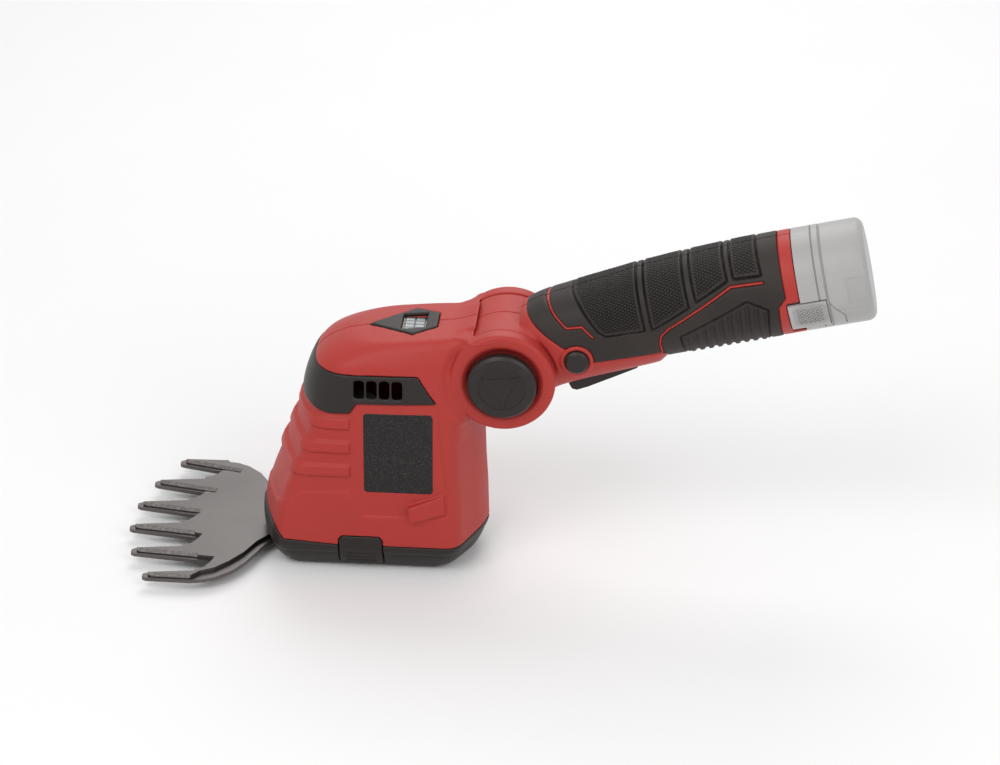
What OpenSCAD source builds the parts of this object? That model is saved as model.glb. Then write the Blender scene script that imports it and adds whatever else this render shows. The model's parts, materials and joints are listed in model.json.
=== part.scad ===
// Cordless grass shears with a tilting handle and a stick battery.
// Frame: origin under the middle of the base, on the ground. X points from the
// blades to the handle, Y points to the tool's right-hand side, Z points up.

/* [Head] */
// Length of the red head at the level of the base joint
head_len = 107; // [104:1:110]
// Width of the red head at the base joint
head_w = 66.8; // [66:0.2:70]
// Height of the head's top above the ground, over the origin
head_h = 113.1; // [112:0.1:115]
// Wall of the moulded head shells
wall = 2.6; // [2.2:0.1:3]
// Height of the joint between the base cover and the red head
base_h = 15; // [14.6:0.1:15]

/* [Pivot] */
// Distance of the handle's pivot behind the origin
pivot_x = 60.5; // [60:0.5:62]
// Height of the handle's pivot
pivot_z = 98.2; // [97.6:0.2:99]
// Radius of the round cheeks
barrel_r = 23.7; // [23.2:0.1:24]
// Width over both cheeks
barrel_w = 51.5; // [51:0.5:53]
// Thickness of each cheek
cheek_t = 7.45; // [7:0.05:7.8]
// Radius of the round lock button
button_r = 15.5; // [14.5:0.1:15.8]
// Height of the button's face above the cheek
button_proud = 4.4; // [4:0.1:5]
// Travel of the lock button
button_travel = 4; // [3:0.1:4]
// Radius of the tube that the handle turns on
tube_r = 10; // [9:0.1:10.5]

/* [Handle] */
// Angle of the handle above the ground
handle_tilt = 13; // [10:0.5:15]
// Thickness of the soft grip
grip_t = 1; // [0.8:0.1:1.2]
// Width of the trigger
trigger_w = 14; // [12:0.5:15]
// Radius of the lock-off bolt
bolt_r = 5.4; // [4.8:0.1:5.6]

/* [Battery] */
// Radius of the battery's round end
battery_r = 23; // [22.6:0.1:23.4]
// Length of the battery outside the handle
battery_show = 31.5; // [30:0.5:33]
// Radius of one cell
cell_r = 9.15; // [9:0.05:9.2]
// Length of one cell
cell_len = 65; // [64:0.2:65.4]

/* [Blades] */
// Distance between the outermost tips of the comb
blade_span = 103; // [100:1:105]
// Thickness of each blade
blade_t = 1.8; // [1.6:0.1:1.9]
// Length of the teeth
tooth_len = 31; // [28:0.5:33]
// Swing of the upper blade to each side
swing = 6; // [4:0.5:6]

/* [Drive] */
// Teeth of the large gear
gear_teeth = 60; // [56:2:60]
// Teeth of the motor's pinion
pinion_teeth = 12; // [12:1:13]
// Gear module
gear_module = 0.7; // [0.66:0.01:0.7]
// Radius of the motor's can
motor_r = 18; // [16:0.5:18]
// Length of the motor's can
motor_len = 46; // [42:1:48]

/* [Fits] */
// Gap between parts that slide or swing past each other
slide_gap = 0.3; // [0.25:0.05:0.4]
// Radial gap of a shaft in its hole
run_gap = 0.05; // [0.03:0.01:0.08]
// Radial gap of a pin pressed into a moulding
seat_gap = 0.02; // [0.02:0.01:0.04]

/* [Hidden] */
half_w = head_w / 2;
head_k = head_len / 107;
slot_w = barrel_w - 2 * cheek_t;
knuckle_w = slot_w - 2 * slide_gap;
knuckle_r = barrel_r - 0.4;
slot_r = knuckle_r + 2 * slide_gap;
button_well = button_r + 0.5;
cheek_in = slot_w / 2;
well_floor = barrel_w / 2 - button_travel - 0.45;
pin_fn = 48;
round_fn = 32;

// Levels of the blades and the gears above the ground
floor_t = 2.4;
comb_z = 4.4;
cutter_z = comb_z + blade_t + 0.1;
cam_z = cutter_z - 0.2;
gear_z = 10.4;
gear_h = 5.6;
plate_z = 17;
plate_t = 3;

// Drive: the motor stands in front of the gear, so that the tool doesn't tip back
motor_x = -15 * head_k;
gear_pitch_r = gear_module * gear_teeth / 2;
pinion_pitch_r = gear_module * pinion_teeth / 2;
gear_x = motor_x + gear_pitch_r + pinion_pitch_r;
cutter_x = -40 * head_k;
comb_screw_x = cutter_x + 7;
comb_screw_y = 12.5;
arm = gear_x - cutter_x;
// The cam's offset gives the cutter its swing
cam_off = arm * tan(swing);
cam_r = 9;
cam_play = 0.2 * cam_off + 0.15;
axle_r = 3;
shaft_r = 1.6;

// Battery: three cells in a rounded triangle
battery_w = 14.15;
tower_w = 13.8;
collar_u = 136.6;
tower_u = 99;
cell_u = tower_u + 2.2;
cell_bore = cell_r + 0.05;
cell_ring = (cell_bore + 0.1) / cos(30);
tower_r = cell_bore + 0.5;
bay_r = tower_r + slide_gap;
cap_u = 152;
end_u = collar_u + battery_show;

// Head levels: height over the origin, slope, front, rear, half width, front and rear roundness,
// and how far the corners are bevelled
head_levels = [
  [base_h + slide_gap, 0.000, -54.0, 53.2, 33.4, 3.0, 2.1, 1],
  [33.5, 0.000, -50.6, 52.8, 33.2, 3.0, 2.1, 1],
  [50.0, 0.010, -44.8, 52.0, 32.6, 2.9, 2.2, 1],
  [63.5, 0.020, -39.6, 51.7, 31.8, 2.8, 2.4, 0.9],
  [73.0, 0.030, -35.8, 53.0, 31.0, 2.8, 2.7, 0.75],
  [80.0, 0.040, -33.5, 57.0, 30.3, 2.8, 3.0, 0.5],
  [89.7, 0.055, -31.4, 58.0, 29.3, 2.8, 3.2, 0.25],
  [97.0, 0.070, -29.0, 58.5, 28.2, 2.7, 3.2, 0.1],
  [103.0, 0.080, -25.6, 58.5, 26.6, 2.6, 3.2, 0],
  [107.5, 0.090, -21.0, 58.0, 24.0, 2.5, 3.2, 0],
  [110.8, 0.100, -14.5, 57.0, 21.0, 2.4, 3.2, 0],
  [112.5, 0.100, -7.0, 55.0, 18.0, 2.3, 3.0, 0],
  [113.1, 0.100, 0.0, 53.0, 14.0, 2.2, 3.0, 0]
];

// Bevels of the head's corners: length along the sides and half width left flat at the ends
front_bevel = 10;
rear_bevel = 13;
bevel_flat = 4;

// Handle sections: distance from the pivot, top, bottom, half width, roundness
handle_levels = [
  [12, 23.5, -17.2, 18.8, 2.6],
  [16, 25.4, -16.9, 19.3, 2.5],
  [23, 27.6, -16.3, 19.6, 2.4],
  [36, 29.4, -15.0, 20.0, 2.4],
  [60, 32.6, -12.4, 20.4, 2.3],
  [69, 33.9, -11.8, 20.8, 2.2],
  [74, 34.2, -9.2, 21.2, 2.1],
  [84, 35.0, -9.0, 21.8, 2.1],
  [96, 35.7, -9.0, 22.4, 2.05],
  [114, 36.7, -9.0, 22.9, 2],
  [collar_u, 37.15, -8.85, 23.0, 2]
];

// Screw places on the head (x, z) and on the handle (u, w)
head_screw_at = [[-44, 30], [43, 32], [-22, 80], [43, 62]];
handle_screw_at = [[27, 17], [52, 25], [72, 26], [66, -4]];
screw_r = 1.5;
screw_head_r = 2.9;
boss_r = 3.8;

// Which node to build

red = [0.62, 0.09, 0.07];
black = [0.06, 0.05, 0.05];
grey = [0.5, 0.49, 0.48];
steel = [0.55, 0.54, 0.53];
brass = [0.75, 0.6, 0.3];

// A point of a rounded outline that is wider or squarer as its roundness grows
function rounded(a, reach, half, n) = [
  reach * sign(cos(a)) * pow(abs(cos(a)), 2 / n),
  half * sign(sin(a)) * pow(abs(sin(a)), 2 / n)
];

// How far out a point lies, with 1 on a rectangle whose corners are cut by bevels
function bevel_gauge(p, reach, half, run, flat) = let (
  cy = reach * (half - flat) / run + flat,
  cx = run * cy / (half - flat)
) max(abs(p[0]) / reach, abs(p[1]) / half, abs(p[0]) / cx + abs(p[1]) / cy);

// Points around a section, outside and inside
head_ring = 26;
handle_ring = 24;
inner_ring = 12;

// One ring of the head, moved inwards by d
function head_section(s, d) = let (
  ring = d > 0 ? inner_ring : head_ring,
  lift = (s[0] - base_h - slide_gap) / (113.1 - base_h - slide_gap),
  z = s[0] + lift * (head_h - 113.1),
  mid = -3,
  k = head_k
) [
  for (i = [0 : ring - 1]) let (
    a = 360 * i / ring,
    back = cos(a) >= 0,
    reach = (back ? s[3] * k - mid : mid - s[2] * k) - d,
    half = s[4] * head_w / 66.8 - d,
    n = back ? s[6] : s[5],
    at = rounded(a, reach, half, n),
    run = (back ? rear_bevel : front_bevel) * k,
    p = s[7] > 0 ? at / (1 - s[7] + s[7] * bevel_gauge(at, reach, half, run, bevel_flat)) : at,
    x = mid + p[0]
  ) [x, p[1], z + s[1] * x]
];

// One ring of the handle, moved inwards by d
function handle_section(s, d) = let (
  ring = d > 2 ? inner_ring : handle_ring,
  mid = (s[1] + s[2]) / 2,
  rise = (s[1] - s[2]) / 2 - d
) [
  for (i = [0 : ring - 1]) let (
    a = 360 * i / ring,
    p = rounded(a, s[3] - d, rise, s[4])
  ) [s[0], p[0], mid + p[1]]
];

// A closed skin through a list of rings
module skin(rings) {
  n = len(rings[0]);
  m = len(rings);
  polyhedron(
    points = [for (r = rings) for (p = r) p],
    faces = concat(
      [[for (i = [0 : n - 1]) i]],
      [for (j = [0 : m - 2]) for (i = [0 : n - 1]) let (k = (i + 1) % n)
        [j * n + i, (j + 1) * n + i, (j + 1) * n + k]],
      [for (j = [0 : m - 2]) for (i = [0 : n - 1]) let (k = (i + 1) % n)
        [j * n + i, (j + 1) * n + k, j * n + k]],
      [[for (i = [n - 1 : -1 : 0]) (m - 1) * n + i]]
    ),
    convexity = 6
  );
}

// Lofted mouldings are evaluated as one mesh
module moulded() { resize([0, 0, 0]) children(); }

// The head's outer form moved inwards by d, open to below when it is a cavity
module head_form(d) {
  top = len(head_levels) - 1;
  skin([for (j = [0 : top]) let (s = head_levels[j]) [
    for (p = head_section(s, d)) [p[0], p[1], p[2] - (j == 0 ? (d > 0 ? 1 : 0) : d * j / top)]
  ]]);
}

// The handle's outer form moved inwards by d between two stations
module handle_form(d, first, last) {
  skin([for (j = [first : last]) handle_section(handle_levels[j], d)]);
}

// Extrudes an outline drawn in the X-Z plane from y0 to y1
module across(y0, y1) {
  translate([0, y1, 0]) rotate([90, 0, 0]) linear_extrude(y1 - y0, convexity = 6) children();
}

// Extrudes an outline drawn in the Y-Z plane from x0 to x1
module along(x0, x1) {
  translate([x0, 0, 0]) rotate([90, 0, 90]) linear_extrude(x1 - x0, convexity = 6) children();
}

// Radius of a hole whose flats still clear a round of radius r
function clear_of(r, fn = round_fn) = r / cos(180 / fn);

// A round bar along Y
module bar(x, z, r, y0, y1, fn = 48) {
  translate([x, y1, z]) rotate([90, 0, 0]) cylinder(r = r, h = y1 - y0, $fn = fn);
}

// Places a piece that is drawn in the handle's own frame
module in_handle() {
  translate([pivot_x, 0, pivot_z]) rotate([0, -handle_tilt, 0]) children();
}

// The half space of one side, -1 left and 1 right
module side_space(side, from = 0) {
  translate([-200, side > 0 ? from : -100 - from, -100]) cube([600, 100, 400]);
}

// Outline of the vent band seen from the side
module band_outline() {
  polygon([[22.8, 100.7], [31, 87.7], [-4.8, 87], [-8, 82.3], [-17, 81.8], [-26, 82.8], [-60, 87], [-60, 100]]);
}

// The four vent openings seen from the side
module vent_outline() {
  for (i = [0 : 3]) translate([-5.9 + i * 5.7, 89.8])
    polygon([[0.9, 0], [3.7, 0], [4.6, 0.9], [4.6, 6.9], [3.7, 7.8], [0.9, 7.8], [0, 6.9], [0, 0.9]]);
}

// Outline of the window bezel seen from above
module bezel_outline() {
  polygon([[-2, 0], [19, 13], [30, 7], [30, -7], [19, -13]]);
}

// The layer of the head between two depths
module head_layer(outer, inner) {
  difference() {
    head_form(outer);
    head_form(inner);
  }
}

// Screw pillar of the head, both halves
module head_bosses() {
  for (p = head_screw_at) bar(p[0], p[1], boss_r, -half_w, half_w, 10);
}

module head_screw_holes(side) {
  for (p = head_screw_at) {
    bar(p[0], p[1], clear_of(screw_r + 0.1, 10), -20, 60, 10);
    bar(p[0], p[1], screw_head_r + 0.3, 18 + slide_gap, 60, 16);
  }
}

// Room for a latch in the shells and the base cover
module latch_space(side, gap) {
  across(side > 0 ? 20 : -60, side > 0 ? 60 : -20) polygon([
    [-14 - gap, 4 - gap], [6 + gap, 4 - gap], [6 + gap, 18 + gap], [4.5 + gap, 20 + gap],
    [-12.5 - gap, 20 + gap], [-14 - gap, 18 + gap]]);
}

module head_shell(side) {
  color(red) moulded() difference() {
    union() {
      intersection() {
        union() {
          head_layer(0, wall);
          // raised ribs around the front
          intersection() {
            head_layer(-1, 0.5);
            union() {
              for (z = [51.2, 62.9, 74.6]) translate([-90, -60, z]) cube([82, 120, 5.2]);
            }
          }
          // concave wall behind the knuckle
          intersection() {
            head_form(0.2);
            difference() {
              bar(pivot_x, pivot_z, slot_r + 2, -cheek_in - 1, cheek_in + 1, 16);
              bar(pivot_x, pivot_z, clear_of(slot_r), -60, 60, round_fn);
            }
          }
          intersection() {
            head_form(0.2);
            union() {
              head_bosses();
              // ledges that hold the gearbox plate
              for (x = [-36, 32]) for (s = [-1, 1]) {
                translate([x - 3, s > 0 ? 19 : -40, base_h + slide_gap]) cube([6, 21, plate_z - base_h - slide_gap]);
                translate([x - 3, s > 0 ? 19 : -40, plate_z + plate_t]) cube([6, 21, 2]);
              }
            }
          }
        }
        side_space(side);
      }
      // round cheek of the pivot
      bar(pivot_x, pivot_z, barrel_r, side > 0 ? cheek_in : -barrel_w / 2, side > 0 ? barrel_w / 2 : -cheek_in, round_fn);
      // wedge-shaped tab near the base
      intersection() {
        head_layer(-1.6, 1);
        across(side > 0 ? 10 : -60, side > 0 ? 60 : -10) polygon([[19.5, 28.5], [33.4, 27], [33.4, 36.5], [20.5, 35]]);
      }
    }
    // room for the knuckle
    bar(pivot_x, pivot_z, clear_of(slot_r), -cheek_in, cheek_in, round_fn);
    // well and hole for the lock button
    bar(pivot_x, pivot_z, clear_of(button_well), side > 0 ? well_floor : -60, side > 0 ? 60 : -well_floor, round_fn);
    bar(pivot_x, pivot_z, clear_of(tube_r + seat_gap), -60, 60, round_fn);
    // seat and openings of the vent band
    intersection() {
      head_layer(-3, 1.4);
      across(-60, 60) band_outline();
    }
    across(-60, 60) vent_outline();
    // seat of the window bezel
    intersection() {
      head_layer(-3, 1.4);
      translate([0, 0, 104]) linear_extrude(30) bezel_outline();
    }
    translate([13.5, -7, 100]) cube([11, 14, 30]);
    head_screw_holes(side);
    latch_space(side, slide_gap);
    side_space(-side);
  }
}

module head_shell_left() { head_shell(-1); }
module head_shell_right() { head_shell(1); }

module vent_band() {
  color(black) moulded() difference() {
    intersection() {
      head_layer(-0.3, 1.4);
      across(-60, 60) band_outline();
    }
    across(-60, 60) vent_outline();
  }
}

module window_bezel() {
  color(black) moulded() difference() {
    intersection() {
      head_layer(-0.5, 1.4);
      translate([0, 0, 104]) linear_extrude(30) bezel_outline();
    }
    translate([13.5, -7, 100]) cube([11, 14, 30]);
  }
}

// Charge display on a small board under the window
module charge_display() {
  color(grey) {
    translate([13.7, -6.8, 107]) cube([10.6, 13.6, 6.4]);
    translate([9, -10, 105.4]) cube([20, 20, 1.6]);
  }
}

// Plate that carries the motor and the gears
module gearbox_plate() {
  color(steel) difference() {
    translate([0, 0, plate_z]) linear_extrude(plate_t)
      polygon([for (p = head_section(head_levels[0], wall + 3 * slide_gap)) [p[0], p[1]]]);
    for (s = [-1, 1]) translate([-16, s > 0 ? 21 : -61, plate_z - 1]) cube([24, 40, plate_t + 2]);
    translate([motor_x, 0, plate_z - 1]) cylinder(r = 5, h = plate_t + 2, $fn = pin_fn);
    translate([gear_x, 0, plate_z - 1]) cylinder(r = axle_r + seat_gap, h = plate_t + 2, $fn = pin_fn);
    for (s = [-1, 1]) translate([motor_x, 11 * s, plate_z - 1]) cylinder(r = 1.4, h = plate_t + 2, $fn = 24);
  }
}

module motor_can() {
  color(steel) difference() {
    translate([motor_x, 0, plate_z + plate_t]) cylinder(r = motor_r, h = motor_len, $fn = 72);
    translate([motor_x, 0, 0]) cylinder(r = shaft_r + run_gap, h = 200, $fn = pin_fn);
    for (s = [-1, 1]) translate([motor_x, 11 * s, 0]) cylinder(r = 1.25 + seat_gap, h = 26, $fn = 24);
  }
}

module motor_end_cap() {
  end_z = plate_z + plate_t + motor_len;
  color(black) difference() {
    union() {
      translate([motor_x, 0, end_z]) cylinder(r = motor_r - 0.6, h = 4, $fn = 72);
      translate([motor_x, 0, end_z + 4]) cylinder(r = 5, h = 3, $fn = pin_fn);
      for (s = [-1, 1]) translate([motor_x - 4, 9.5 * s - 2.5, end_z + 4]) cube([8, 5, 2.5]);
    }
    translate([motor_x, 0, 0]) cylinder(r = shaft_r + run_gap, h = 200, $fn = pin_fn);
  }
}

module motor_shaft() {
  color(steel) translate([motor_x, 0, gear_z - 0.8])
    cylinder(r = shaft_r, h = plate_z + plate_t + motor_len + 5 - gear_z, $fn = pin_fn);
}

// Involute of the base circle, as an angle
function involute(r, base) = let (a = acos(base / r)) tan(a) * 180 / PI - a;

// Outline of a spur gear with a tooth on the X axis
function gear_points(teeth, thin) = let (
  r = gear_module * teeth / 2,
  base = r * cos(25),
  tip = r + 0.95 * gear_module,
  root = r - 1.25 * gear_module,
  first = max(base, root) + 0.001,
  half = 90 / teeth - thin / r * 90 / PI
) [
  for (i = [0 : teeth - 1]) for (q = concat(
    [[root, -1, first]],
    [for (j = [0 : 3]) let (t = first + (tip - first) * j / 3) [t, -1, t]],
    [for (j = [3 : -1 : 0]) let (t = first + (tip - first) * j / 3) [t, 1, t]],
    [[root, 1, first]]
  )) let (a = 360 * i / teeth + q[1] * (half + involute(r, base) - involute(q[2], base)))
    [q[0] * cos(a), q[0] * sin(a)]
];

module drive_pinion() {
  turn = 180 / pinion_teeth;
  color(steel) translate([motor_x, 0, gear_z]) difference() {
    rotate(turn) linear_extrude(gear_h) polygon(gear_points(pinion_teeth, 0.1));
    translate([0, 0, -1]) cylinder(r = shaft_r + seat_gap, h = gear_h + 2, $fn = pin_fn);
  }
}

// Large gear with the cam that swings the cutter
module drive_gear() {
  color(steel) difference() {
    union() {
      translate([gear_x, 0, gear_z]) linear_extrude(gear_h) polygon(gear_points(gear_teeth, 0.1));
      translate([gear_x + cam_off, 0, cam_z]) cylinder(r = cam_r, h = gear_z - cam_z + 1, $fn = 72);
    }
    translate([gear_x, 0, 0]) cylinder(r = axle_r + run_gap, h = 40, $fn = pin_fn);
    translate([gear_x, 0, gear_z + gear_h - 1.6]) difference() {
      cylinder(r = gear_pitch_r - 3, h = 5, $fn = 72);
      cylinder(r = 8, h = 5, $fn = 48);
    }
  }
}

module gear_axle() {
  color(steel) {
    translate([gear_x, 0, cam_z - 1.5]) cylinder(r = axle_r + 1.6, h = 1.2, $fn = pin_fn);
    translate([gear_x, 0, cam_z - 1.5]) cylinder(r = axle_r, h = plate_z + plate_t - cam_z + 1.5, $fn = pin_fn);
  }
}

module head_screws() {
  color(steel) for (p = head_screw_at) {
    bar(p[0], p[1], screw_r, -18, 18.5, 24);
    bar(p[0], p[1], screw_head_r, 18 + slide_gap, 20.8, 24);
  }
}

module motor_screws() {
  color(steel) for (s = [-1, 1]) translate([motor_x, 11 * s, 0]) {
    translate([0, 0, plate_z - 1.6]) cylinder(r = 2.3, h = 1.6, $fn = 24);
    translate([0, 0, plate_z - 1]) cylinder(r = 1.25, h = 8, $fn = 24);
  }
}

// Levels of the base cover, in the same columns as the head
base_levels = [
  [0, 0, -47.0, 46.0, 25.0, 3.0, 2.4, 1],
  [1.2, 0, -48.6, 47.6, 26.6, 3.0, 2.4, 1],
  [4.5, 0, -51.0, 50.0, 29.2, 3.0, 2.3, 1],
  [9, 0, -52.8, 51.8, 31.7, 3.0, 2.2, 1],
  [11.6, 0, -53.4, 52.5, 32.6, 3.0, 2.1, 1],
  [base_h, 0, -54.0, 53.2, 33.4, 3.0, 2.1, 1]
];

// A ring of the base at its own height
function base_section(s, d) = [for (p = head_section(s, d)) [p[0], p[1], s[0]]];

module base_form(d, rise = 0) {
  rings = concat(
    [for (s = base_levels) base_section(s, d)],
    rise > 0 ? [base_section([base_h + rise, 0, -53.4, 53.1, 33.4, 3.0, 2.1, 1], d)] : []
  );
  skin(rings);
}

// Lower shell that closes the gearbox and holds the comb
module base_cover() {
  color(black) moulded() difference() {
    union() {
      difference() {
        base_form(0);
        intersection() {
          base_form(2.2);
          translate([-100, -100, floor_t]) cube([200, 200, 40]);
        }
        translate([-100, -100, base_h - 0.6]) intersection() {
          cube([200, 200, 10]);
          translate([100, 100, -base_h + 0.6]) base_form(2.2, 8);
        }
      }
      // posts under the comb
      translate([cutter_x, 0, floor_t - 0.5]) cylinder(r = 9, h = comb_z - floor_t + 0.5, $fn = 32);
      for (s = [-1, 1]) translate([comb_screw_x, comb_screw_y * s, floor_t - 0.5])
        cylinder(r = 4, h = comb_z - floor_t + 0.5, $fn = 24);
    }
    // mouth for the blades
    translate([-100, -20.5, comb_z]) cube([102 + cutter_x, 41, 2 * blade_t + 0.1 + 0.5]);
    translate([cutter_x, 0, 1]) cylinder(r = 4 + seat_gap, h = 20, $fn = pin_fn);
    for (s = [-1, 1]) translate([comb_screw_x, comb_screw_y * s, 1.2]) cylinder(r = screw_r + seat_gap, h = 20, $fn = 24);
    for (s = [-1, 1]) latch_space(s, slide_gap);
  }
}

// Squeeze latch of the base cover
module base_latch(side) {
  color(black) moulded() intersection() {
    difference() {
      base_form(0, 8);
      intersection() {
        difference() {
          base_form(-1);
          base_form(0.7);
        }
        union() {
          for (z = [5.4, 7.6, 9.8]) translate([-11, -50, z]) cube([14, 100, 1]);
        }
      }
    }
    latch_space(side, 0);
    side_space(side, 25);
  }
}

module base_latch_left() { base_latch(-1); }
module base_latch_right() { base_latch(1); }

// Blades, drawn from the cutter's pivot
blade_reach = 76.2;
blade_bow = 14;
span_k = blade_span / 103;
tooth_pitch = blade_span / 5;
comb_tip = 2.2;
comb_root = 7.4;
cutter_tip = 1.5;
cutter_root = 5.6;
cutter_short = 2.7;
fork_half = cam_r + cam_play + 4;
bevel_h = 1.3;

// Tip of a tooth, counted from the left
function tooth_tip(i, short) = let (k = i - 2.5) [-blade_reach + short + blade_bow * k * k / 6.25, k * tooth_pitch];

// Outline of one tooth: a straight edge on its left, a flared one on its right
function tooth(i, short, tip, root) = let (
  t = tooth_tip(i, short),
  deep = tooth_len - short,
  base = t[0] + deep,
  mid = 0.95 * t[1],
  next = 0.95 * (t[1] + tooth_pitch) - root - 1.2
) concat(
  [i == 0 ? [base - 9, t[1] - tip - 0.4] : [base, mid - root]],
  [[t[0] + 1.6, t[1] - tip], [t[0], t[1] - 0.5 * tip], [t[0], t[1] + 0.5 * tip], [t[0] + 1.6, t[1] + tip]],
  i == 5 ? [[base - 9, t[1] + tip + 0.4]] : [
    [t[0] + 0.72 * deep, t[1] + tip + 0.62 * (root - tip)],
    [t[0] + 0.86 * deep, t[1] + root],
    [t[0] + 0.95 * deep, (t[1] + root + next) / 2],
    [base, next]
  ]
);

// Plan of a toothed blade: its neck in the base and its flank, which widens with the span
module blade_plan(short, tip, root, neck, flank) {
  edge = concat(neck, [for (p = flank) [p[0], p[1] * span_k]]);
  polygon(concat(
    edge,
    [for (i = [0 : 5]) for (p = tooth(i, short, tip, root)) p],
    [for (i = [len(edge) - 1 : -1 : 0]) [edge[i][0], -edge[i][1]]]
  ));
}

// Fixed lower blade
module comb_blade() {
  color(steel) translate([cutter_x, 0, comb_z]) difference() {
    linear_extrude(blade_t) blade_plan(0, comb_tip, comb_root,
      [[14, -10], [11, -16.5], [-7, -16.5], [-10, -20]],
      [[-13.2, -27.5], [-17, -36.5], [-22, -44.5], [-28.5, -50.4], [-34, -53]]);
    translate([0, 0, -1]) cylinder(r = 4 + seat_gap, h = 20, $fn = pin_fn);
    for (s = [-1, 1]) translate([comb_screw_x - cutter_x, comb_screw_y * s, -1])
      cylinder(r = screw_r + seat_gap, h = 20, $fn = 24);
  }
}

// Room of a bevel that is ground along one edge of a tooth, from its tip to its root
module ground_edge(from, to, flip) {
  run = to - from;
  translate([from[0], from[1], blade_t - bevel_h]) rotate(atan2(run[1], run[0])) mirror([0, flip, 0])
    rotate([45, 0, 0]) translate([-4, -1, 0]) cube([norm(run) + 4.6, 11, 10]);
}

// Moving upper blade with the fork around the cam
module cutter_blade() {
  color(steel) translate([cutter_x, 0, cutter_z]) difference() {
    linear_extrude(blade_t) blade_plan(cutter_short, cutter_tip, cutter_root,
      [[arm + 12, -10], [arm + 12, -fork_half], [arm - 12, -fork_half], [arm - 20, -7.5], [-3, -9], [-8, -13]],
      [[-14, -21], [-18.5, -31], [-24, -39], [-30, -45.5], [-36, -48.6]]);
    translate([0, 0, -1]) cylinder(r = 4 + run_gap, h = 20, $fn = pin_fn);
    translate([arm - cam_off - cam_r - 0.6, -cam_r - cam_play, -1]) cube([60, 2 * (cam_r + cam_play), 20]);
    for (i = [0 : 5]) let (p = tooth(i, cutter_short, cutter_tip, cutter_root)) {
      ground_edge(p[1], p[0], 0);
      ground_edge(p[4], p[5], 1);
    }
  }
}

module cutter_pivot() {
  color(steel) translate([cutter_x, 0, 0]) {
    translate([0, 0, 1]) cylinder(r = 4, h = cutter_z + blade_t, $fn = pin_fn);
    translate([0, 0, cutter_z + blade_t + 0.15]) cylinder(r = 6.5, h = 1.6, $fn = pin_fn);
  }
}

module comb_screws() {
  color(steel) for (s = [-1, 1]) translate([comb_screw_x, comb_screw_y * s, 0]) {
    translate([0, 0, 1.2]) cylinder(r = screw_r, h = comb_z + blade_t - 1, $fn = 24);
    translate([0, 0, comb_z + blade_t]) cylinder(r = 2.6, h = 1.4, $fn = 24);
  }
}

// Tube that joins both cheeks and carries the handle
module pivot_tube() {
  color(steel) difference() {
    bar(pivot_x, pivot_z, tube_r, -well_floor, well_floor, pin_fn);
    bar(pivot_x, pivot_z, tube_r - 2.4, -60, 60, pin_fn);
  }
}

module pivot_bushes() {
  color(brass) for (s = [-1, 1]) difference() {
    bar(pivot_x, pivot_z, tube_r + 1.5, s > 0 ? 8 : -knuckle_w / 2, s > 0 ? knuckle_w / 2 : -8, pin_fn);
    bar(pivot_x, pivot_z, tube_r + run_gap, -60, 60, pin_fn);
  }
}

// Round lock button with a guide stem inside the tube
module pivot_button(side) {
  back = barrel_w / 2 - 0.25;
  face = barrel_w / 2 + button_proud;
  stem = tube_r - 2.4 - slide_gap;
  color(black) translate([pivot_x, 0, pivot_z]) rotate([side > 0 ? -90 : 90, 0, 0]) difference() {
    union() {
      translate([0, 0, 7]) cylinder(r = stem, h = back - 6, $fn = pin_fn);
      translate([0, 0, back]) cylinder(r = button_r, h = face - back - 1.2, $fn = 96);
      translate([0, 0, face - 1.2]) cylinder(r1 = button_r, r2 = button_r - 1.2, h = 1.2, $fn = 96);
    }
    translate([0, 0, face + 60 - 0.9]) sphere(r = 60, $fn = 96);
    translate([0, 0, 6]) cylinder(r = stem - 2, h = 12, $fn = pin_fn);
  }
}

module pivot_button_left() { pivot_button(-1); }
module pivot_button_right() { pivot_button(1); }

// Direction across a line at one of its points
function line_across(p, i) = let (d = p[min(i + 1, len(p) - 1)] - p[max(i - 1, 0)]) [-d[1], d[0]] / norm(d);

// Band of even width along a line
module stroke(p, width) {
  n = len(p) - 1;
  polygon(concat(
    [for (i = [0 : n]) p[i] + line_across(p, i) * width / 2],
    [for (i = [n : -1 : 0]) p[i] - line_across(p, i) * width / 2]
  ));
}

front_line = [[14, 33], [25.8, 27.6], [28.5, 23.5], [32.8, 18], [39.7, 17.8], [43.7, 12.1]];
rear_line = [[72.3, -2], [72.3, 3.5], [73.5, 7.6], [77.4, 10.8], [108.2, 25.4], [122.3, 25]];

// Area of the soft grip seen from the side, with the red lines left open
module grip_outline() {
  difference() {
    polygon([[14, 60], [15, 25], [22, 17], [29.5, 9.3], [38.9, -1.7], [38.7, -8.1], [69.9, -6.8], [72.2, -4.8],
      [74.5, -20], [126, -20], [126, -1.5], [127.2, 13.1], [131, 16.9], [130.2, 60]]);
    stroke(front_line, 1.5);
    stroke(rear_line, 1.5);
  }
}

last_station = len(handle_levels) - 1;
trigger_at = [57, -6];
bolt_at = [34.3, 2.3];
switch_wide = 18;

// Rounded triangle around the three cells, in the Y-Z plane
module cell_triangle(r, fn = 40) {
  c = [for (i = [0 : 2]) [cell_ring * cos(90 + 120 * i), tower_w + cell_ring * sin(90 + 120 * i)]];
  for (p = c) translate(p) circle(r = r, $fn = fn);
  polygon([for (i = [0 : 2]) for (s = [-64, 64]) c[i] + r * [cos(90 + 120 * i + s), sin(90 + 120 * i + s)]]);
}

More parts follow.
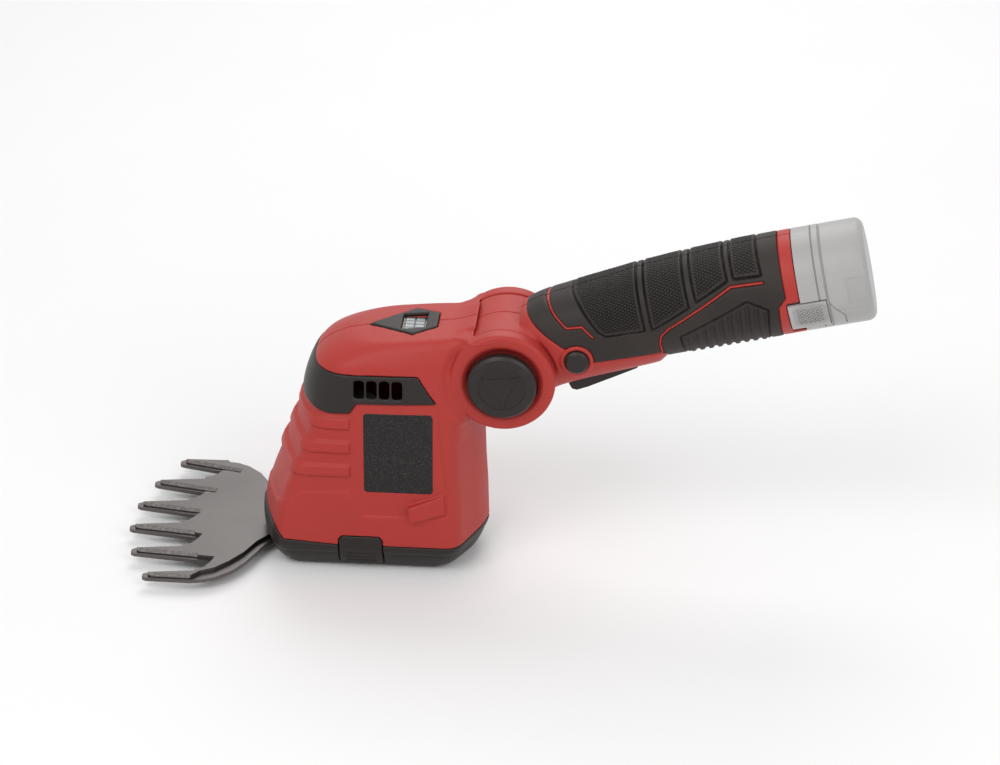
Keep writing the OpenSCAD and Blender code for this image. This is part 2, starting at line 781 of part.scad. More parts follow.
module handle_shell(side) {
  color(red) in_handle() moulded() difference() {
    union() {
      intersection() {
        union() {
          difference() {
            union() {
              handle_form(grip_t, 0, last_station);
              difference() {
                handle_form(0, 0, last_station);
                across(-60, 60) grip_outline();
              }
            }
            handle_form(grip_t + 2.4, 2, 8);
            along(90, 150) cell_triangle(clear_of(bay_r, 20), 20);
            // clearance around the round cheeks
            for (s = [-1, 1]) bar(0, 0, clear_of(barrel_r + 2 * slide_gap), s > 0 ? knuckle_w / 2 : -60, s > 0 ? 60 : -knuckle_w / 2, round_fn);
          }
          // pillars and ribs inside
          intersection() {
            handle_form(grip_t + 0.4, 0, last_station);
            union() {
              for (p = handle_screw_at) bar(p[0], p[1], boss_r, -40, 40, 10);
              for (s = [-1, 1]) {
                bar(trigger_at[0], trigger_at[1], 3.6, s > 0 ? trigger_w / 2 + 0.4 : -40, s > 0 ? 40 : -trigger_w / 2 - 0.4, 16);
                translate([48, s > 0 ? switch_wide / 2 : -40, 3]) cube([6, 40 - switch_wide / 2, 6]);
                translate([88, s > 0 ? 11 : -40, 8]) cube([5, 29, 8]);
              }
            }
          }
          // raised ring around the lock-off bolt
          bar(bolt_at[0], bolt_at[1], 7.4, -20.9, 20.9, 24);
          bar(0, 0, knuckle_r, -knuckle_w / 2, knuckle_w / 2, round_fn);
        }
        side_space(side);
      }
    }
    bar(0, 0, clear_of(tube_r + 2 * run_gap), -60, 60, round_fn);
    for (s = [-1, 1]) bar(0, 0, clear_of(tube_r + 1.5 + seat_gap), s > 0 ? 8 : -60, s > 0 ? 60 : -8, round_fn);
    // inside of the ring is open between the bolt's two walls
    intersection() {
      handle_form(grip_t + 2.4, 2, 8);
      bar(bolt_at[0], bolt_at[1], 9, -14, 14, 12);
    }
    bar(bolt_at[0], bolt_at[1], clear_of(bolt_r + run_gap, 24), -60, 60, 24);
    // mouth for the trigger
    translate([23.6, -trigger_w / 2 - 0.4, -40]) cube([39.4, trigger_w + 0.8, 40 - 6]);
    bar(trigger_at[0], trigger_at[1], 1.5 + 0.05, -12, 12, 24);
    // notch for the battery's release tab
    intersection() {
      translate([130.7, side > 0 ? 14 : -54, -3]) cube([30, 40, 17]);
      along(120, 150) translate([0, battery_w]) difference() {
        circle(r = 40, $fn = 16);
        circle(r = 19, $fn = 20);
      }
    }
    // screw holes, sunk from the right-hand side
    for (p = handle_screw_at) {
      bar(p[0], p[1], clear_of(screw_r + 0.1, 10), -13, 60, 10);
      bar(p[0], p[1], screw_head_r + 0.3, 13 + slide_gap, 60, 16);
    }
    side_space(-side);
  }
}

module handle_shell_left() { handle_shell(-1); }
module handle_shell_right() { handle_shell(1); }

// Soft moulded grip over one half of the handle
module grip(side) {
  color(black) in_handle() moulded() difference() {
    intersection() {
      difference() {
        handle_form(0, 0, last_station);
        handle_form(grip_t, 0, last_station);
      }
      across(-60, 60) grip_outline();
      side_space(side);
    }
    for (s = [-1, 1]) bar(0, 0, clear_of(barrel_r + 2 * slide_gap), s > 0 ? knuckle_w / 2 : -60, s > 0 ? 60 : -knuckle_w / 2, round_fn);
    bar(bolt_at[0], bolt_at[1], 7.4, -60, 60, 24);
    if (side > 0) for (p = handle_screw_at) bar(p[0], p[1], screw_head_r + 0.3, 10, 60, 16);
  }
}

module grip_left() { grip(-1); }
module grip_right() { grip(1); }

module handle_screws() {
  color(steel) in_handle() for (p = handle_screw_at) {
    bar(p[0], p[1], screw_r, -12.5, 13.5, 24);
    bar(p[0], p[1], screw_head_r, 13 + slide_gap, 15.6, 24);
  }
}

module trigger() {
  color(black) in_handle() difference() {
    across(-trigger_w / 2, trigger_w / 2) polygon([[26.2, -15], [27, -17.6], [29, -18.6], [34, -18], [46, -15.4],
      [58, -12.7], [61, -9], [60.6, -4], [58.6, -2.4], [55, -2.4], [51, -5.6], [44, -6.2], [30, -9.4], [26.6, -12]]);
    bar(trigger_at[0], trigger_at[1], 1.5 + run_gap, -60, 60, pin_fn);
  }
}

module trigger_pin() {
  color(steel) in_handle() bar(trigger_at[0], trigger_at[1], 1.5, -11.8, 11.8, pin_fn);
}

module lock_off_bolt() {
  color(black) in_handle() translate([bolt_at[0], 0, bolt_at[1]]) rotate([90, 0, 0]) {
    translate([0, 0, -20.6]) cylinder(r = bolt_r, h = 42.4, $fn = pin_fn);
    translate([0, 0, 21.8]) cylinder(r1 = bolt_r, r2 = bolt_r - 1, h = 1, $fn = pin_fn);
  }
}

module switch_body() {
  color(black) in_handle() difference() {
    translate([42.5, -switch_wide / 2, -0.5]) cube([17, switch_wide, 13]);
    translate([46, 0, -2]) cylinder(r = 2 + run_gap, h = 8, $fn = pin_fn);
  }
}

module switch_plunger() {
  color(grey) in_handle() translate([46, 0, -5.7]) cylinder(r = 2, h = 9, $fn = pin_fn);
}

// Contacts between handle and battery
contact_at = [-5, 0, 5];

module terminal_block() {
  color(black) in_handle() difference() {
    translate([87, -11, 5]) cube([7.6, 22, 15]);
    for (y = contact_at) translate([90, y - 1, tower_w - 3]) cube([10, 2, 6]);
  }
}

module terminal_fingers() {
  color(brass) in_handle() for (y = contact_at) translate([90, y - 1, tower_w - 3]) cube([8.8, 2, 6]);
}

module battery_contacts() {
  color(brass) in_handle() for (y = contact_at) translate([tower_u, y - 1.4, tower_w - 3.4]) cube([1, 2.8, 6.8]);
}

// Sector of the release tabs about the battery's axis
module tab_sector(side, inner, outer, gap) {
  translate([0, battery_w]) intersection() {
    difference() {
      circle(r = outer, $fn = 96);
      circle(r = inner, $fn = 96);
    }
    polygon([[0, 0], [side * 40, -2 + gap], [side * 40, -34 - 2 * gap]]);
  }
}

module battery_case() {
  color(grey) in_handle() difference() {
    union() {
      along(tower_u, collar_u + 2) cell_triangle(tower_r);
      translate([collar_u + slide_gap, 0, battery_w]) rotate([0, 90, 0])
        cylinder(r = battery_r, h = cap_u - collar_u - slide_gap, $fn = 96);
    }
    along(cell_u, 200) cell_triangle(cell_bore);
    for (y = contact_at) translate([tower_u - 1, y - 1.4, tower_w - 3.4]) cube([2, 2.8, 6.8]);
    for (s = [-1, 1]) along(collar_u - 1, 148 + slide_gap) tab_sector(s, 20.7, 40, 1.2);
    translate([139, -9, -6.4]) cube([60, 18, 2]);
  }
}

// Rounded end of the battery
module battery_cap() {
  long = end_u - cap_u;
  color(grey) in_handle() difference() {
    translate([cap_u, 0, battery_w]) rotate([0, 90, 0]) rotate_extrude($fn = 96) {
      square([battery_r - 4, long]);
      square([battery_r, long - 4]);
      translate([battery_r - 4, long - 4]) intersection() {
        circle(r = 4, $fn = 48);
        square([4, 4]);
      }
    }
    along(cap_u - 1, cell_u + cell_len + 0.2) cell_triangle(cell_bore);
    translate([139, -9, -6.4]) cube([26, 18, 2]);
  }
}

module battery_cells() {
  color([0.2, 0.3, 0.5]) in_handle() for (i = [0 : 2])
    translate([cell_u, cell_ring * cos(90 + 120 * i), tower_w + cell_ring * sin(90 + 120 * i)]) rotate([0, 90, 0])
      cylinder(r = cell_r, h = cell_len, $fn = 64);
}

module battery_board() {
  color([0.1, 0.3, 0.15]) in_handle() translate([139.2, -8.8, -6.4]) cube([25.6, 17.6, 1.6]);
}

module battery_tab(side) {
  color(grey) in_handle() along(131, 148) tab_sector(side, 21.6, battery_r + 0.4, 0);
}

module battery_tab_left() { battery_tab(-1); }
module battery_tab_right() { battery_tab(1); }

head_shell_left();
head_shell_right();
vent_band();
window_bezel();
charge_display();
gearbox_plate();
motor_can();
motor_end_cap();
motor_shaft();
drive_pinion();
drive_gear();
gear_axle();
head_screws();
motor_screws();
base_cover();
base_latch_left();
base_latch_right();
comb_blade();
cutter_blade();
cutter_pivot();
comb_screws();
pivot_tube();
pivot_bushes();
pivot_button_left();
pivot_button_right();
handle_shell_left();
handle_shell_right();
grip_left();
grip_right();
handle_screws();
trigger();
trigger_pin();
lock_off_bolt();
switch_body();
switch_plunger();
terminal_block();
terminal_fingers();
battery_case();
battery_cap();
battery_cells();
battery_board();
battery_contacts();
battery_tab_left();
battery_tab_right();
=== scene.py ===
# %% [markdown]
# # Cordless grass shears, dressed
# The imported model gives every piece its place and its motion. This lesson adds the looks: fine
# mouldings over the coarse shells, the soft grip's pattern, ground steel, light and a camera.
# Sizes are in millimetres here and become metres when a mesh is made.

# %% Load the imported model
import json
import math

import bpy
import numpy as np
import openvdb
from mathutils import Matrix, Vector


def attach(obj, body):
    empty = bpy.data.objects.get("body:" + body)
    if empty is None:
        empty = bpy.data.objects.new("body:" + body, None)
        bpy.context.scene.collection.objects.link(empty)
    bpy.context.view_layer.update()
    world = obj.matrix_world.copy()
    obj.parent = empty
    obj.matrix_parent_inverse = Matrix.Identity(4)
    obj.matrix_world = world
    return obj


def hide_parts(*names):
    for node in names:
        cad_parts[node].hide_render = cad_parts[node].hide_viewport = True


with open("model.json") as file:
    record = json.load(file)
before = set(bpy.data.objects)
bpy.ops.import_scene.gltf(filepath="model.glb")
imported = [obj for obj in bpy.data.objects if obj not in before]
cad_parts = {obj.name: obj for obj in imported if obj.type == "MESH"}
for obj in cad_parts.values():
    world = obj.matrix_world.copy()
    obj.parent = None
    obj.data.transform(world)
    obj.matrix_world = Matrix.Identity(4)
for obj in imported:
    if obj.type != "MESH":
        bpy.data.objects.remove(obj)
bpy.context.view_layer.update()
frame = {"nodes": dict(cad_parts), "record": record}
nodes = frame["nodes"]

# %% [markdown]
# ## Main sizes
# The mouldings follow the same sizes as the solids. The head is a stack of rounded levels and the
# handle a row of rounded sections, both read on smooth curves, so that no facet shows.

# %% Main sizes
MM = 0.001
PIVOT_X = 60.5
PIVOT_Z = 98.2
TILT = math.radians(13)
WALL = 2.6
GAP = 0.3
BARREL_R = 23.7
BARREL_HALF = 25.75
CHEEK_IN = 18.3
SLOT_R = 23.9
WELL_R = 16.0
WELL_FLOOR = 21.3
TUBE_R = 10.05
KNUCKLE_R = 23.3
KNUCKLE_HALF = 18.0
SCREW_HOLE_R = 3.2
SCREW_PILLAR_R = 3.8
SEAM = 0.02
GRIP_T = 1.0
COLLAR_U = 136.6
BATTERY_W = 14.15
BATTERY_R = 23.0
STEP = 0.5

# Columns: height, slope, front, rear, half width, roundness at front and rear, bevel of the corners
HEAD_LEVELS = [
    [15.3, 0.000, -54.0, 53.2, 33.4, 3.0, 2.1, 1],
    [33.5, 0.000, -50.6, 52.8, 33.2, 3.0, 2.1, 1],
    [50.0, 0.010, -44.8, 52.0, 32.6, 2.9, 2.2, 1],
    [63.5, 0.020, -39.6, 51.7, 31.8, 2.8, 2.4, 0.9],
    [73.0, 0.030, -35.8, 53.0, 31.0, 2.8, 2.7, 0.75],
    [80.0, 0.040, -33.5, 57.0, 30.3, 2.8, 3.0, 0.5],
    [89.7, 0.055, -31.4, 58.0, 29.3, 2.8, 3.2, 0.25],
    [97.0, 0.070, -29.0, 58.5, 28.2, 2.7, 3.2, 0.1],
    [103.0, 0.080, -25.6, 58.5, 26.6, 2.6, 3.2, 0],
    [107.5, 0.090, -21.0, 58.0, 24.0, 2.5, 3.2, 0],
    [110.8, 0.100, -14.5, 57.0, 21.0, 2.4, 3.2, 0],
    [112.5, 0.100, -7.0, 55.0, 18.0, 2.3, 3.0, 0],
    [113.1, 0.100, 0.0, 53.0, 14.0, 2.2, 3.0, 0],
]
BASE_LEVELS = [
    [0.0, 0, -47.0, 46.0, 25.0, 3.0, 2.4, 1],
    [1.2, 0, -48.6, 47.6, 26.6, 3.0, 2.4, 1],
    [4.5, 0, -51.0, 50.0, 29.2, 3.0, 2.3, 1],
    [9.0, 0, -52.8, 51.8, 31.7, 3.0, 2.2, 1],
    [11.6, 0, -53.4, 52.5, 32.6, 3.0, 2.1, 1],
    [15.0, 0, -54.0, 53.2, 33.4, 3.0, 2.1, 1],
    [23.0, 0, -53.4, 53.1, 33.4, 3.0, 2.1, 1],
]
# Columns: distance from the pivot, top, bottom, half width, roundness
HANDLE_LEVELS = [
    [12.0, 23.5, -17.2, 18.8, 2.6],
    [16.0, 25.4, -16.9, 19.3, 2.5],
    [23.0, 27.6, -15.2, 19.6, 2.4],
    [36.0, 29.4, -13.6, 20.0, 2.4],
    [60.0, 32.6, -12.4, 20.4, 2.3],
    [69.0, 33.9, -11.8, 20.8, 2.2],
    [74.0, 34.2, -9.2, 21.2, 2.1],
    [84.0, 35.0, -9.0, 21.8, 2.1],
    [96.0, 35.7, -9.0, 22.4, 2.05],
    [114.0, 36.7, -9.0, 22.9, 2.0],
    [136.6, 37.15, -8.85, 23.0, 2.0],
]
print("voxel step:", STEP, "mm")

# %% [markdown]
# ## Carving tools
# Each moulding is carved in a block of sample points that hold the distance to its surface, below
# zero inside. Joining is a minimum and cutting a maximum, and a soft minimum or maximum leaves the
# small rounding that a mould leaves on every edge. The zero surface then becomes a mesh.

# %% Carving tools
def block(low, high, step):
    """Three axes of sample points that fill a box and broadcast against each other."""
    axes = [np.arange(a, b + step, step, dtype=np.float32) for a, b in zip(low, high)]
    return np.meshgrid(*axes, indexing="ij", sparse=True)


def half_block(low, high, side, step):
    """Sample points for the left or right half of a piece, from the box of its right half."""
    low = list(low)
    high = list(high)
    if side < 0:
        low[1], high[1] = -high[1], 0.0
    low[1] -= 1
    high[1] += 1
    return block(low, high, step)


def join(a, b, soft=0.0):
    """Both forms together, with a fillet of about that size between them."""
    if soft == 0:
        return np.minimum(a, b)
    share = np.clip(0.5 + 0.5 * (b - a) / soft, 0, 1)
    return b + (a - b) * share - soft * share * (1 - share)


def meet(a, b, soft=0.0):
    """What two forms share, with rounded edges."""
    return -join(-a, -b, soft)


def cut(a, b, soft=0.0):
    """The first form without the second."""
    return meet(a, -b, soft)


def ramp(value, edge, width):
    """From 0 below the edge to 1 above it, in a smooth step of that width."""
    t = np.clip((value - edge) / width + 0.5, 0, 1)
    return t * t * (3 - 2 * t)


def box_field(p, low, high):
    sides = [np.maximum(a - v, v - b) for v, a, b in zip(p, low, high)]
    return np.maximum(np.maximum(sides[0], sides[1]), sides[2])


def outline_field(a, b, points):
    """Distance to a closed outline in a plane, below zero inside it."""
    best = np.full(np.broadcast(a, b).shape, 1e9, np.float32)
    inside = np.zeros(best.shape, bool)
    for (ax, ay), (bx, by) in zip(points, points[1:] + points[:1]):
        along = ((a - ax) * (bx - ax) + (b - ay) * (by - ay)) / ((bx - ax) ** 2 + (by - ay) ** 2)
        along = np.clip(along, 0, 1)
        best = np.minimum(best, np.hypot(a - ax - along * (bx - ax), b - ay - along * (by - ay)))
        if ay != by:
            crosses = ((ay > b) != (by > b)) & (a < (bx - ax) * (b - ay) / (by - ay) + ax)
            inside = inside ^ crosses
    return np.where(inside, -best, best).astype(np.float32)


def line_field(a, b, points):
    """Distance to an open line through some points in a plane."""
    best = np.full(np.broadcast(a, b).shape, 1e9, np.float32)
    for (ax, ay), (bx, by) in zip(points, points[1:]):
        along = ((a - ax) * (bx - ax) + (b - ay) * (by - ay)) / ((bx - ax) ** 2 + (by - ay) ** 2)
        along = np.clip(along, 0, 1)
        best = np.minimum(best, np.hypot(a - ax - along * (bx - ax), b - ay - along * (by - ay)))
    return best


def even_slopes(column, key):
    """Slopes at the rows of a table that leave no wave between them."""
    gap = np.diff(key)
    rise = np.diff(column) / gap
    before = 2 * gap[1:] + gap[:-1]
    after = gap[1:] + 2 * gap[:-1]
    turning = rise[:-1] * rise[1:] <= 0
    safe = np.where(turning, 1.0, rise[:-1])
    mean = (before + after) / (before / safe + after / np.where(turning, 1.0, rise[1:]))
    return np.concatenate(([rise[0]], np.where(turning, 0, mean), [rise[-1]]))


def read_levels(rows, at):
    """The columns of a table at some positions, on smooth curves through its rows."""
    table = np.array(rows, float)
    key = table[:, 0]
    dense = np.linspace(key[0], key[-1], 600)
    i = np.clip(np.searchsorted(key, dense) - 1, 0, len(key) - 2)
    span = key[i + 1] - key[i]
    t = (dense - key[i]) / span
    columns = []
    for column in table.T[1:]:
        slope = even_slopes(column, key)
        value = (
            column[i] * (1 + 2 * t) * (1 - t) ** 2 + column[i + 1] * t * t * (3 - 2 * t)
            + span * (slope[i] * t * (1 - t) ** 2 - slope[i + 1] * t * t * (1 - t))
        )
        columns.append(np.interp(at, dense, value).astype(np.float32))
    return columns


def section_field(a, b, n, reach, half):
    """Nearly the distance to a rounded outline, from offsets along and across it."""
    a = np.abs(a) / reach
    b = np.abs(b) / half
    q = np.maximum((a ** n + b ** n) ** (1 / n), 1e-3)
    steep = np.hypot((a / q) ** (n - 1) / reach, (b / q) ** (n - 1) / half)
    return (q - 1) / np.maximum(steep, 1e-4)


def even(field, step, steepest):
    """Scales a field so that it grows by one for each millimetre near its surface."""
    slopes = np.gradient(field, step)
    return field / np.clip(np.sqrt(sum(s * s for s in slopes)), 0.6, steepest)


def mesh_of(name, field, p, step, to_frame=None, copies=((0, 0, 0),)):
    """The zero surface of a field as a smooth-shaded mesh object, once for each offset."""
    grid = openvdb.FloatGrid(background=5.0)
    grid.copyFromArray(np.ascontiguousarray(np.clip(field, -5, 5), np.float32))
    points, quads = grid.convertToQuads(isovalue=0.0)
    low = np.array([float(v.min()) for v in p])
    points = points * step + low
    count = len(points)
    points = np.concatenate([points + offset for offset in copies])
    quads = np.concatenate([quads + i * count for i in range(len(copies))])
    if to_frame is not None:
        points = to_frame(points)
    mesh = bpy.data.meshes.new(name)
    mesh.from_pydata(points * MM, [], quads.tolist())
    mesh.shade_smooth()
    piece = bpy.data.objects.new(name, mesh)
    relax = piece.modifiers.new("relax", "SMOOTH")
    relax.factor = 0.5
    relax.iterations = 3
    bpy.context.scene.collection.objects.link(piece)
    print(name, "quads:", len(quads))
    return piece


print("carving tools ready")

# %% [markdown]
# ## Head and base forms
# The head's level at a point follows the deck's slope, so the level is found in a few rounds. Each
# level is widest at its middle, which moves back near the deck. The base cover is the same kind of
# form without a slope. Both fields are evened afterwards, so that a wall keeps its thickness.

# %% Head and base forms
MIDDLE = -3.0
DECK_SHIFT = 17.0
DECK_FROM = 109.0
DECK_BLEND = 9.0
DECK_EDGE = 1.2
DECK_STEEPEST = 14.0
FRONT_BEVEL = 10.0
REAR_BEVEL = 13.0
BEVEL_FLAT = 4.0
BEVEL_SOFT_END = 5.0
BEVEL_SOFT_SIDE = 6.0


def gauge(a, b, n):
    """1 on a rounded square outline, less inside it and more outside it."""
    most = np.maximum(np.maximum(a, b), 1e-3)
    return most * ((a / most) ** n + (b / most) ** n) ** (1 / n)


def level_form(p, rows, step):
    """Distance to a stack of rounded levels, which are given by the rows of a table."""
    x, y, z = p
    level = z + 0 * x
    for _ in range(4):
        level = z - read_levels(rows, level)[0] * x
    _, front, rear, half, front_n, rear_n, bevel = read_levels(rows, level)
    middle = MIDDLE + DECK_SHIFT * ramp(level, DECK_FROM, DECK_BLEND)
    behind = x > middle
    reach = np.where(behind, rear - middle, middle - front)
    a = np.abs(x - middle)
    b = np.abs(y) + 0 * a
    rounded = gauge(a / reach, b / half, np.where(behind, rear_n, front_n))
    run = np.where(behind, REAR_BEVEL, FRONT_BEVEL)
    cross_y = reach * (half - BEVEL_FLAT) / run + BEVEL_FLAT
    cross_x = run * cross_y / (half - BEVEL_FLAT)
    cut_off = (a / cross_x + b / cross_y - 1) / np.hypot(1 / cross_x, 1 / cross_y)
    bevelled = meet(meet(a - reach, cut_off, BEVEL_SOFT_END), b - half, BEVEL_SOFT_SIDE)
    side = even((rounded - 1) * half * (1 - bevel) + bevelled * bevel, step, DECK_STEEPEST)
    return meet(meet(side, level - rows[-1][0], DECK_EDGE), rows[0][0] - level)


def pivot_distance(x, z):
    return np.hypot(x - PIVOT_X, z - PIVOT_Z)


def side_outline(p, points):
    return outline_field(p[0], p[2], points)


BAND = [
    (22.8, 100.7), (31, 87.7), (-4.8, 87), (-8, 82.3), (-17, 81.8), (-26, 82.8), (-60, 87), (-60, 100),
]
BEZEL = [(-2, 0), (19, 13), (30, 7), (30, -7), (19, -13)]
LATCH = [(-14, 4), (6, 4), (6, 18), (4.5, 20), (-12.5, 20), (-14, 18)]
HEAD_SCREWS = [(-44, 30), (43, 32), (-22, 80), (43, 62)]
HEAD_SCREW_SEAT = 13.8
INLAY_SEAT = 1.5
INLAY_BACK = 1.45
INLAY_GAP = 0.12
WINDOW_LOW = (13.5, -7, 100)
WINDOW_HIGH = (24.5, 7, 130)
VENT_COUNT = 4
VENT_FIRST = -3.6
VENT_PITCH = 5.7
VENT_HALF_WIDTH = 2.3
VENT_HALF_HEIGHT = 4.1
VENT_Z = 93.9
VENT_ROUND = 1.5
LABEL = (-1.9, 29.6, 43.3, 82.6)
PANEL_DEPTH = 0.75
PANEL = [
    (-80, 96), (24, 96), (31.8, 87.9), (33.2, 70), (36, 44), (35.8, 31.3), (-3.3, 30.9), (-9.1, 43.3),
    (-30, 42.5), (-44, 34), (-80, 30),
]
TAB = [(19.2, 29.3), (35, 33.6), (34.6, 43.3), (18.3, 37.2)]


def vents_field(p):
    x, _, z = p
    openings = []
    for i in range(VENT_COUNT):
        across = np.abs(x - (VENT_FIRST + VENT_PITCH * i)) - VENT_HALF_WIDTH
        openings.append(meet(across, np.abs(z - VENT_Z) - VENT_HALF_HEIGHT, VENT_ROUND))
    return np.minimum.reduce(openings)


def rounded_rectangle(a, b, low_a, high_a, low_b, high_b, radius):
    """Distance to a rectangle with round corners in a plane."""
    da = np.abs(a - (low_a + high_a) / 2) - (high_a - low_a) / 2 + radius
    db = np.abs(b - (low_b + high_b) / 2) - (high_b - low_b) / 2 + radius
    outside = np.hypot(np.maximum(da, 0), np.maximum(db, 0))
    return outside + np.minimum(np.maximum(da, db), 0) - radius


HEAD_LOW = (-58.0, 0.0, 13.0)
HEAD_HIGH = (87.0, 37.0, 126.0)
print("head levels:", len(HEAD_LEVELS), "base levels:", len(BASE_LEVELS))

# %% [markdown]
# ## Red head shells
# Two halves of glass-filled nylon meet in the middle plane and are screwed from the right. Each is
# carved here with its three raised ribs, the sunk panel, the wedge tab and the round cheek, which
# flows into the side with a fillet and into the deck with a long rise. The right half also has the
# screw wells.

# %% Red head shells
RIB_STARTS = [51.2, 62.9, 74.6]
RIB_WIDTH = 5.5
RIB_HEIGHT = 1.5
RIB_SLOPE = 1.5
RIB_END_X = -8.0
WEDGE_HEIGHT = 2.6
WEDGE_FALL = 2.0
WEDGE_X = 20.0
WEDGE_RUN = 14.0
CHEEK_ROUND = 2.4
CHEEK_FILLET = 1.6
CHEEK_HOLLOW = 1.7
DECK_FLOW = 7.0
DECK_FLOW_Z = 112.0
SLOT_FRONT = 47.6
WELL_CHAMFER = 2.2
JOINT_X = (-60.0, -43.6, -39.5, -14.0, 60.0)
JOINT_Z = (22.8, 22.4, 17.2, 15.1, 15.1)


def joint_height(x):
    """Height of the joint between head and base, which rises at the front."""
    return np.interp(x, JOINT_X, JOINT_Z).astype(np.float32)


def head_outside(p, plain, around):
    """The outer form of the head with its ribs, panel, wedge tab and cheeks."""
    x, y, z = p
    out = np.abs(y)
    ribs = sum(ramp(z, s, RIB_SLOPE) * (1 - ramp(z, s + RIB_WIDTH, RIB_SLOPE)) for s in RIB_STARTS)
    raised = RIB_HEIGHT * ribs * (1 - ramp(x, RIB_END_X, 1.0))
    sunk = PANEL_DEPTH * (1 - ramp(side_outline(p, PANEL), 0, 1.1))
    hollow = CHEEK_HOLLOW * (1 - ramp(around, BARREL_R + 2.2, 5.0)) * ramp(z, 76, 8) * ramp(out, 21, 6)
    solid = plain - raised + sunk + hollow
    wedge = WEDGE_HEIGHT - WEDGE_FALL * np.clip((x - WEDGE_X) / WEDGE_RUN, 0, 1)
    tab = meet(side_outline(p, TAB), meet(plain - wedge, 10 - out), 0.5)
    solid = join(solid, tab, 0.5)
    cheek = meet(around - BARREL_R, meet(out - BARREL_HALF, CHEEK_IN - out), CHEEK_ROUND)
    barrel = meet(around - BARREL_R, out - BARREL_HALF, CHEEK_ROUND)
    rise = ramp(z, DECK_FLOW_Z, 8)
    return join(solid, cheek, CHEEK_FILLET) * (1 - rise) + join(solid, barrel, DECK_FLOW) * rise


def head_shell(side):
    p = half_block(HEAD_LOW, HEAD_HIGH, side, STEP)
    x, y, z = p
    plain = level_form(p, HEAD_LEVELS, STEP)
    around = pivot_distance(x, z)
    out = np.abs(y)
    cavity = meet(plain + WALL, SLOT_R + 2 - around, 1.0)
    pillars = np.minimum.reduce([np.hypot(x - sx, z - sz) - SCREW_PILLAR_R for sx, sz in HEAD_SCREWS])
    cavity = cut(cavity, pillars, 0.8)
    shell = cut(head_outside(p, plain, around), cavity)
    shell = cut(shell, meet(around - SLOT_R, out - CHEEK_IN, 0.3), 0.7)
    shell = cut(shell, meet(meet(SLOT_FRONT - x, PIVOT_Z - z), out - CHEEK_IN, 0.3), 0.5)
    mouth = np.maximum(out - BARREL_HALF + WELL_CHAMFER, 0)
    shell = cut(shell, meet(around - WELL_R - mouth, WELL_FLOOR - out), 0.7)
    shell = cut(shell, around - TUBE_R)
    shell = cut(shell, meet(side_outline(p, BAND), -plain - INLAY_SEAT), 0.4)
    shell = cut(shell, vents_field(p) - 1.0)
    bezel = outline_field(x, y, BEZEL)
    shell = cut(shell, meet(meet(bezel, -plain - INLAY_SEAT), 104 - z), 0.4)
    shell = cut(shell, box_field(p, WINDOW_LOW, WINDOW_HIGH), 0.4)
    latch = meet(side_outline(p, LATCH) - GAP, 20 - out)
    shell = cut(shell, latch, 0.4)
    if side > 0:
        for sx, sz in HEAD_SCREWS:
            well = meet(np.hypot(x - sx, z - sz) - SCREW_HOLE_R, HEAD_SCREW_SEAT + 0.1 - y)
            shell = cut(shell, well, 0.6)
    shell = meet(shell, joint_height(x) + 0.2 - z, 0.4)
    shell = meet(shell, SEAM - side * y)
    name = "head_moulding_left" if side < 0 else "head_moulding_right"
    piece = mesh_of(name, shell, p, STEP)
    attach(piece, "head")
    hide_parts("head_shell_left" if side < 0 else "head_shell_right")
    return piece


head_pieces = [head_shell(-1), head_shell(1)]
print("head halves:", len(head_pieces))

# %% [markdown]
# ## Vent band and window bezel
# The band is a separate black moulding, let into the red shells and running around the front. Its
# four openings on each side feed the motor's fan. The bezel frames the charge display on the deck.

# %% Vent band and window bezel
VENT_GROUP = (-7.0, 16.5, 88.8, 99.0)


def vent_band():
    p = block((-40, -33, 78), (36, 33, 106), STEP)
    plain = level_form(p, HEAD_LEVELS, STEP)
    group = rounded_rectangle(p[0], p[2], *VENT_GROUP, 3.0)
    outside = plain - 0.25 + 0.35 * (1 - ramp(group, 0, 0.7))
    band = meet(meet(outside, -plain - INLAY_BACK), side_outline(p, BAND) + INLAY_GAP, 0.5)
    band = cut(band, vents_field(p), 0.4)
    piece = mesh_of("vent_band_moulding", band, p, STEP)
    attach(piece, "head")
    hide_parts("vent_band")
    return piece


def window_bezel():
    step = 0.4
    p = block((-6, -16, 104), (34, 16, 121), step)
    plain = level_form(p, HEAD_LEVELS, step)
    area = outline_field(p[0], p[1], BEZEL) + INLAY_GAP
    bezel = meet(meet(plain - 0.45, -plain - INLAY_BACK), area, 0.7)
    bezel = cut(bezel, box_field(p, WINDOW_LOW, WINDOW_HIGH), 0.9)
    piece = mesh_of("window_bezel_moulding", bezel, p, step)
    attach(piece, "head")
    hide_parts("window_bezel")
    return piece


trim_pieces = [vent_band(), window_bezel()]
print("trim pieces:", len(trim_pieces))

# %% [markdown]
# ## Bare label place
# A thin plastic label lies in the sunk panel on the left. It is left bare, because words and marks
# belong to a maker. Its field is the panel's own surface, raised by a fifth of a millimetre.

# %% Bare label place
def bare_label():
    step = 0.3
    p = block((-5, -36, 40), (33, -26, 86), step)
    panel = level_form(p, HEAD_LEVELS, step) + PANEL_DEPTH
    area = rounded_rectangle(p[0], p[2], *LABEL, 1.8)
    sheet = meet(meet(panel - 0.2, -panel - 0.4), area, 0.15)
    piece = mesh_of("bare_label", sheet, p, step)
    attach(piece, "head")
    return piece


label_piece = bare_label()
print("label:", [round(v, 1) for v in LABEL])

# %% [markdown]
# ## Base cover and its latches
# The black cover closes the gearbox from below and carries the comb. An upper strip stands a hair
# proud of the lower face, as on the photograph. Each latch fills its notch with a thin dark gap
# around it and has three finger grooves.

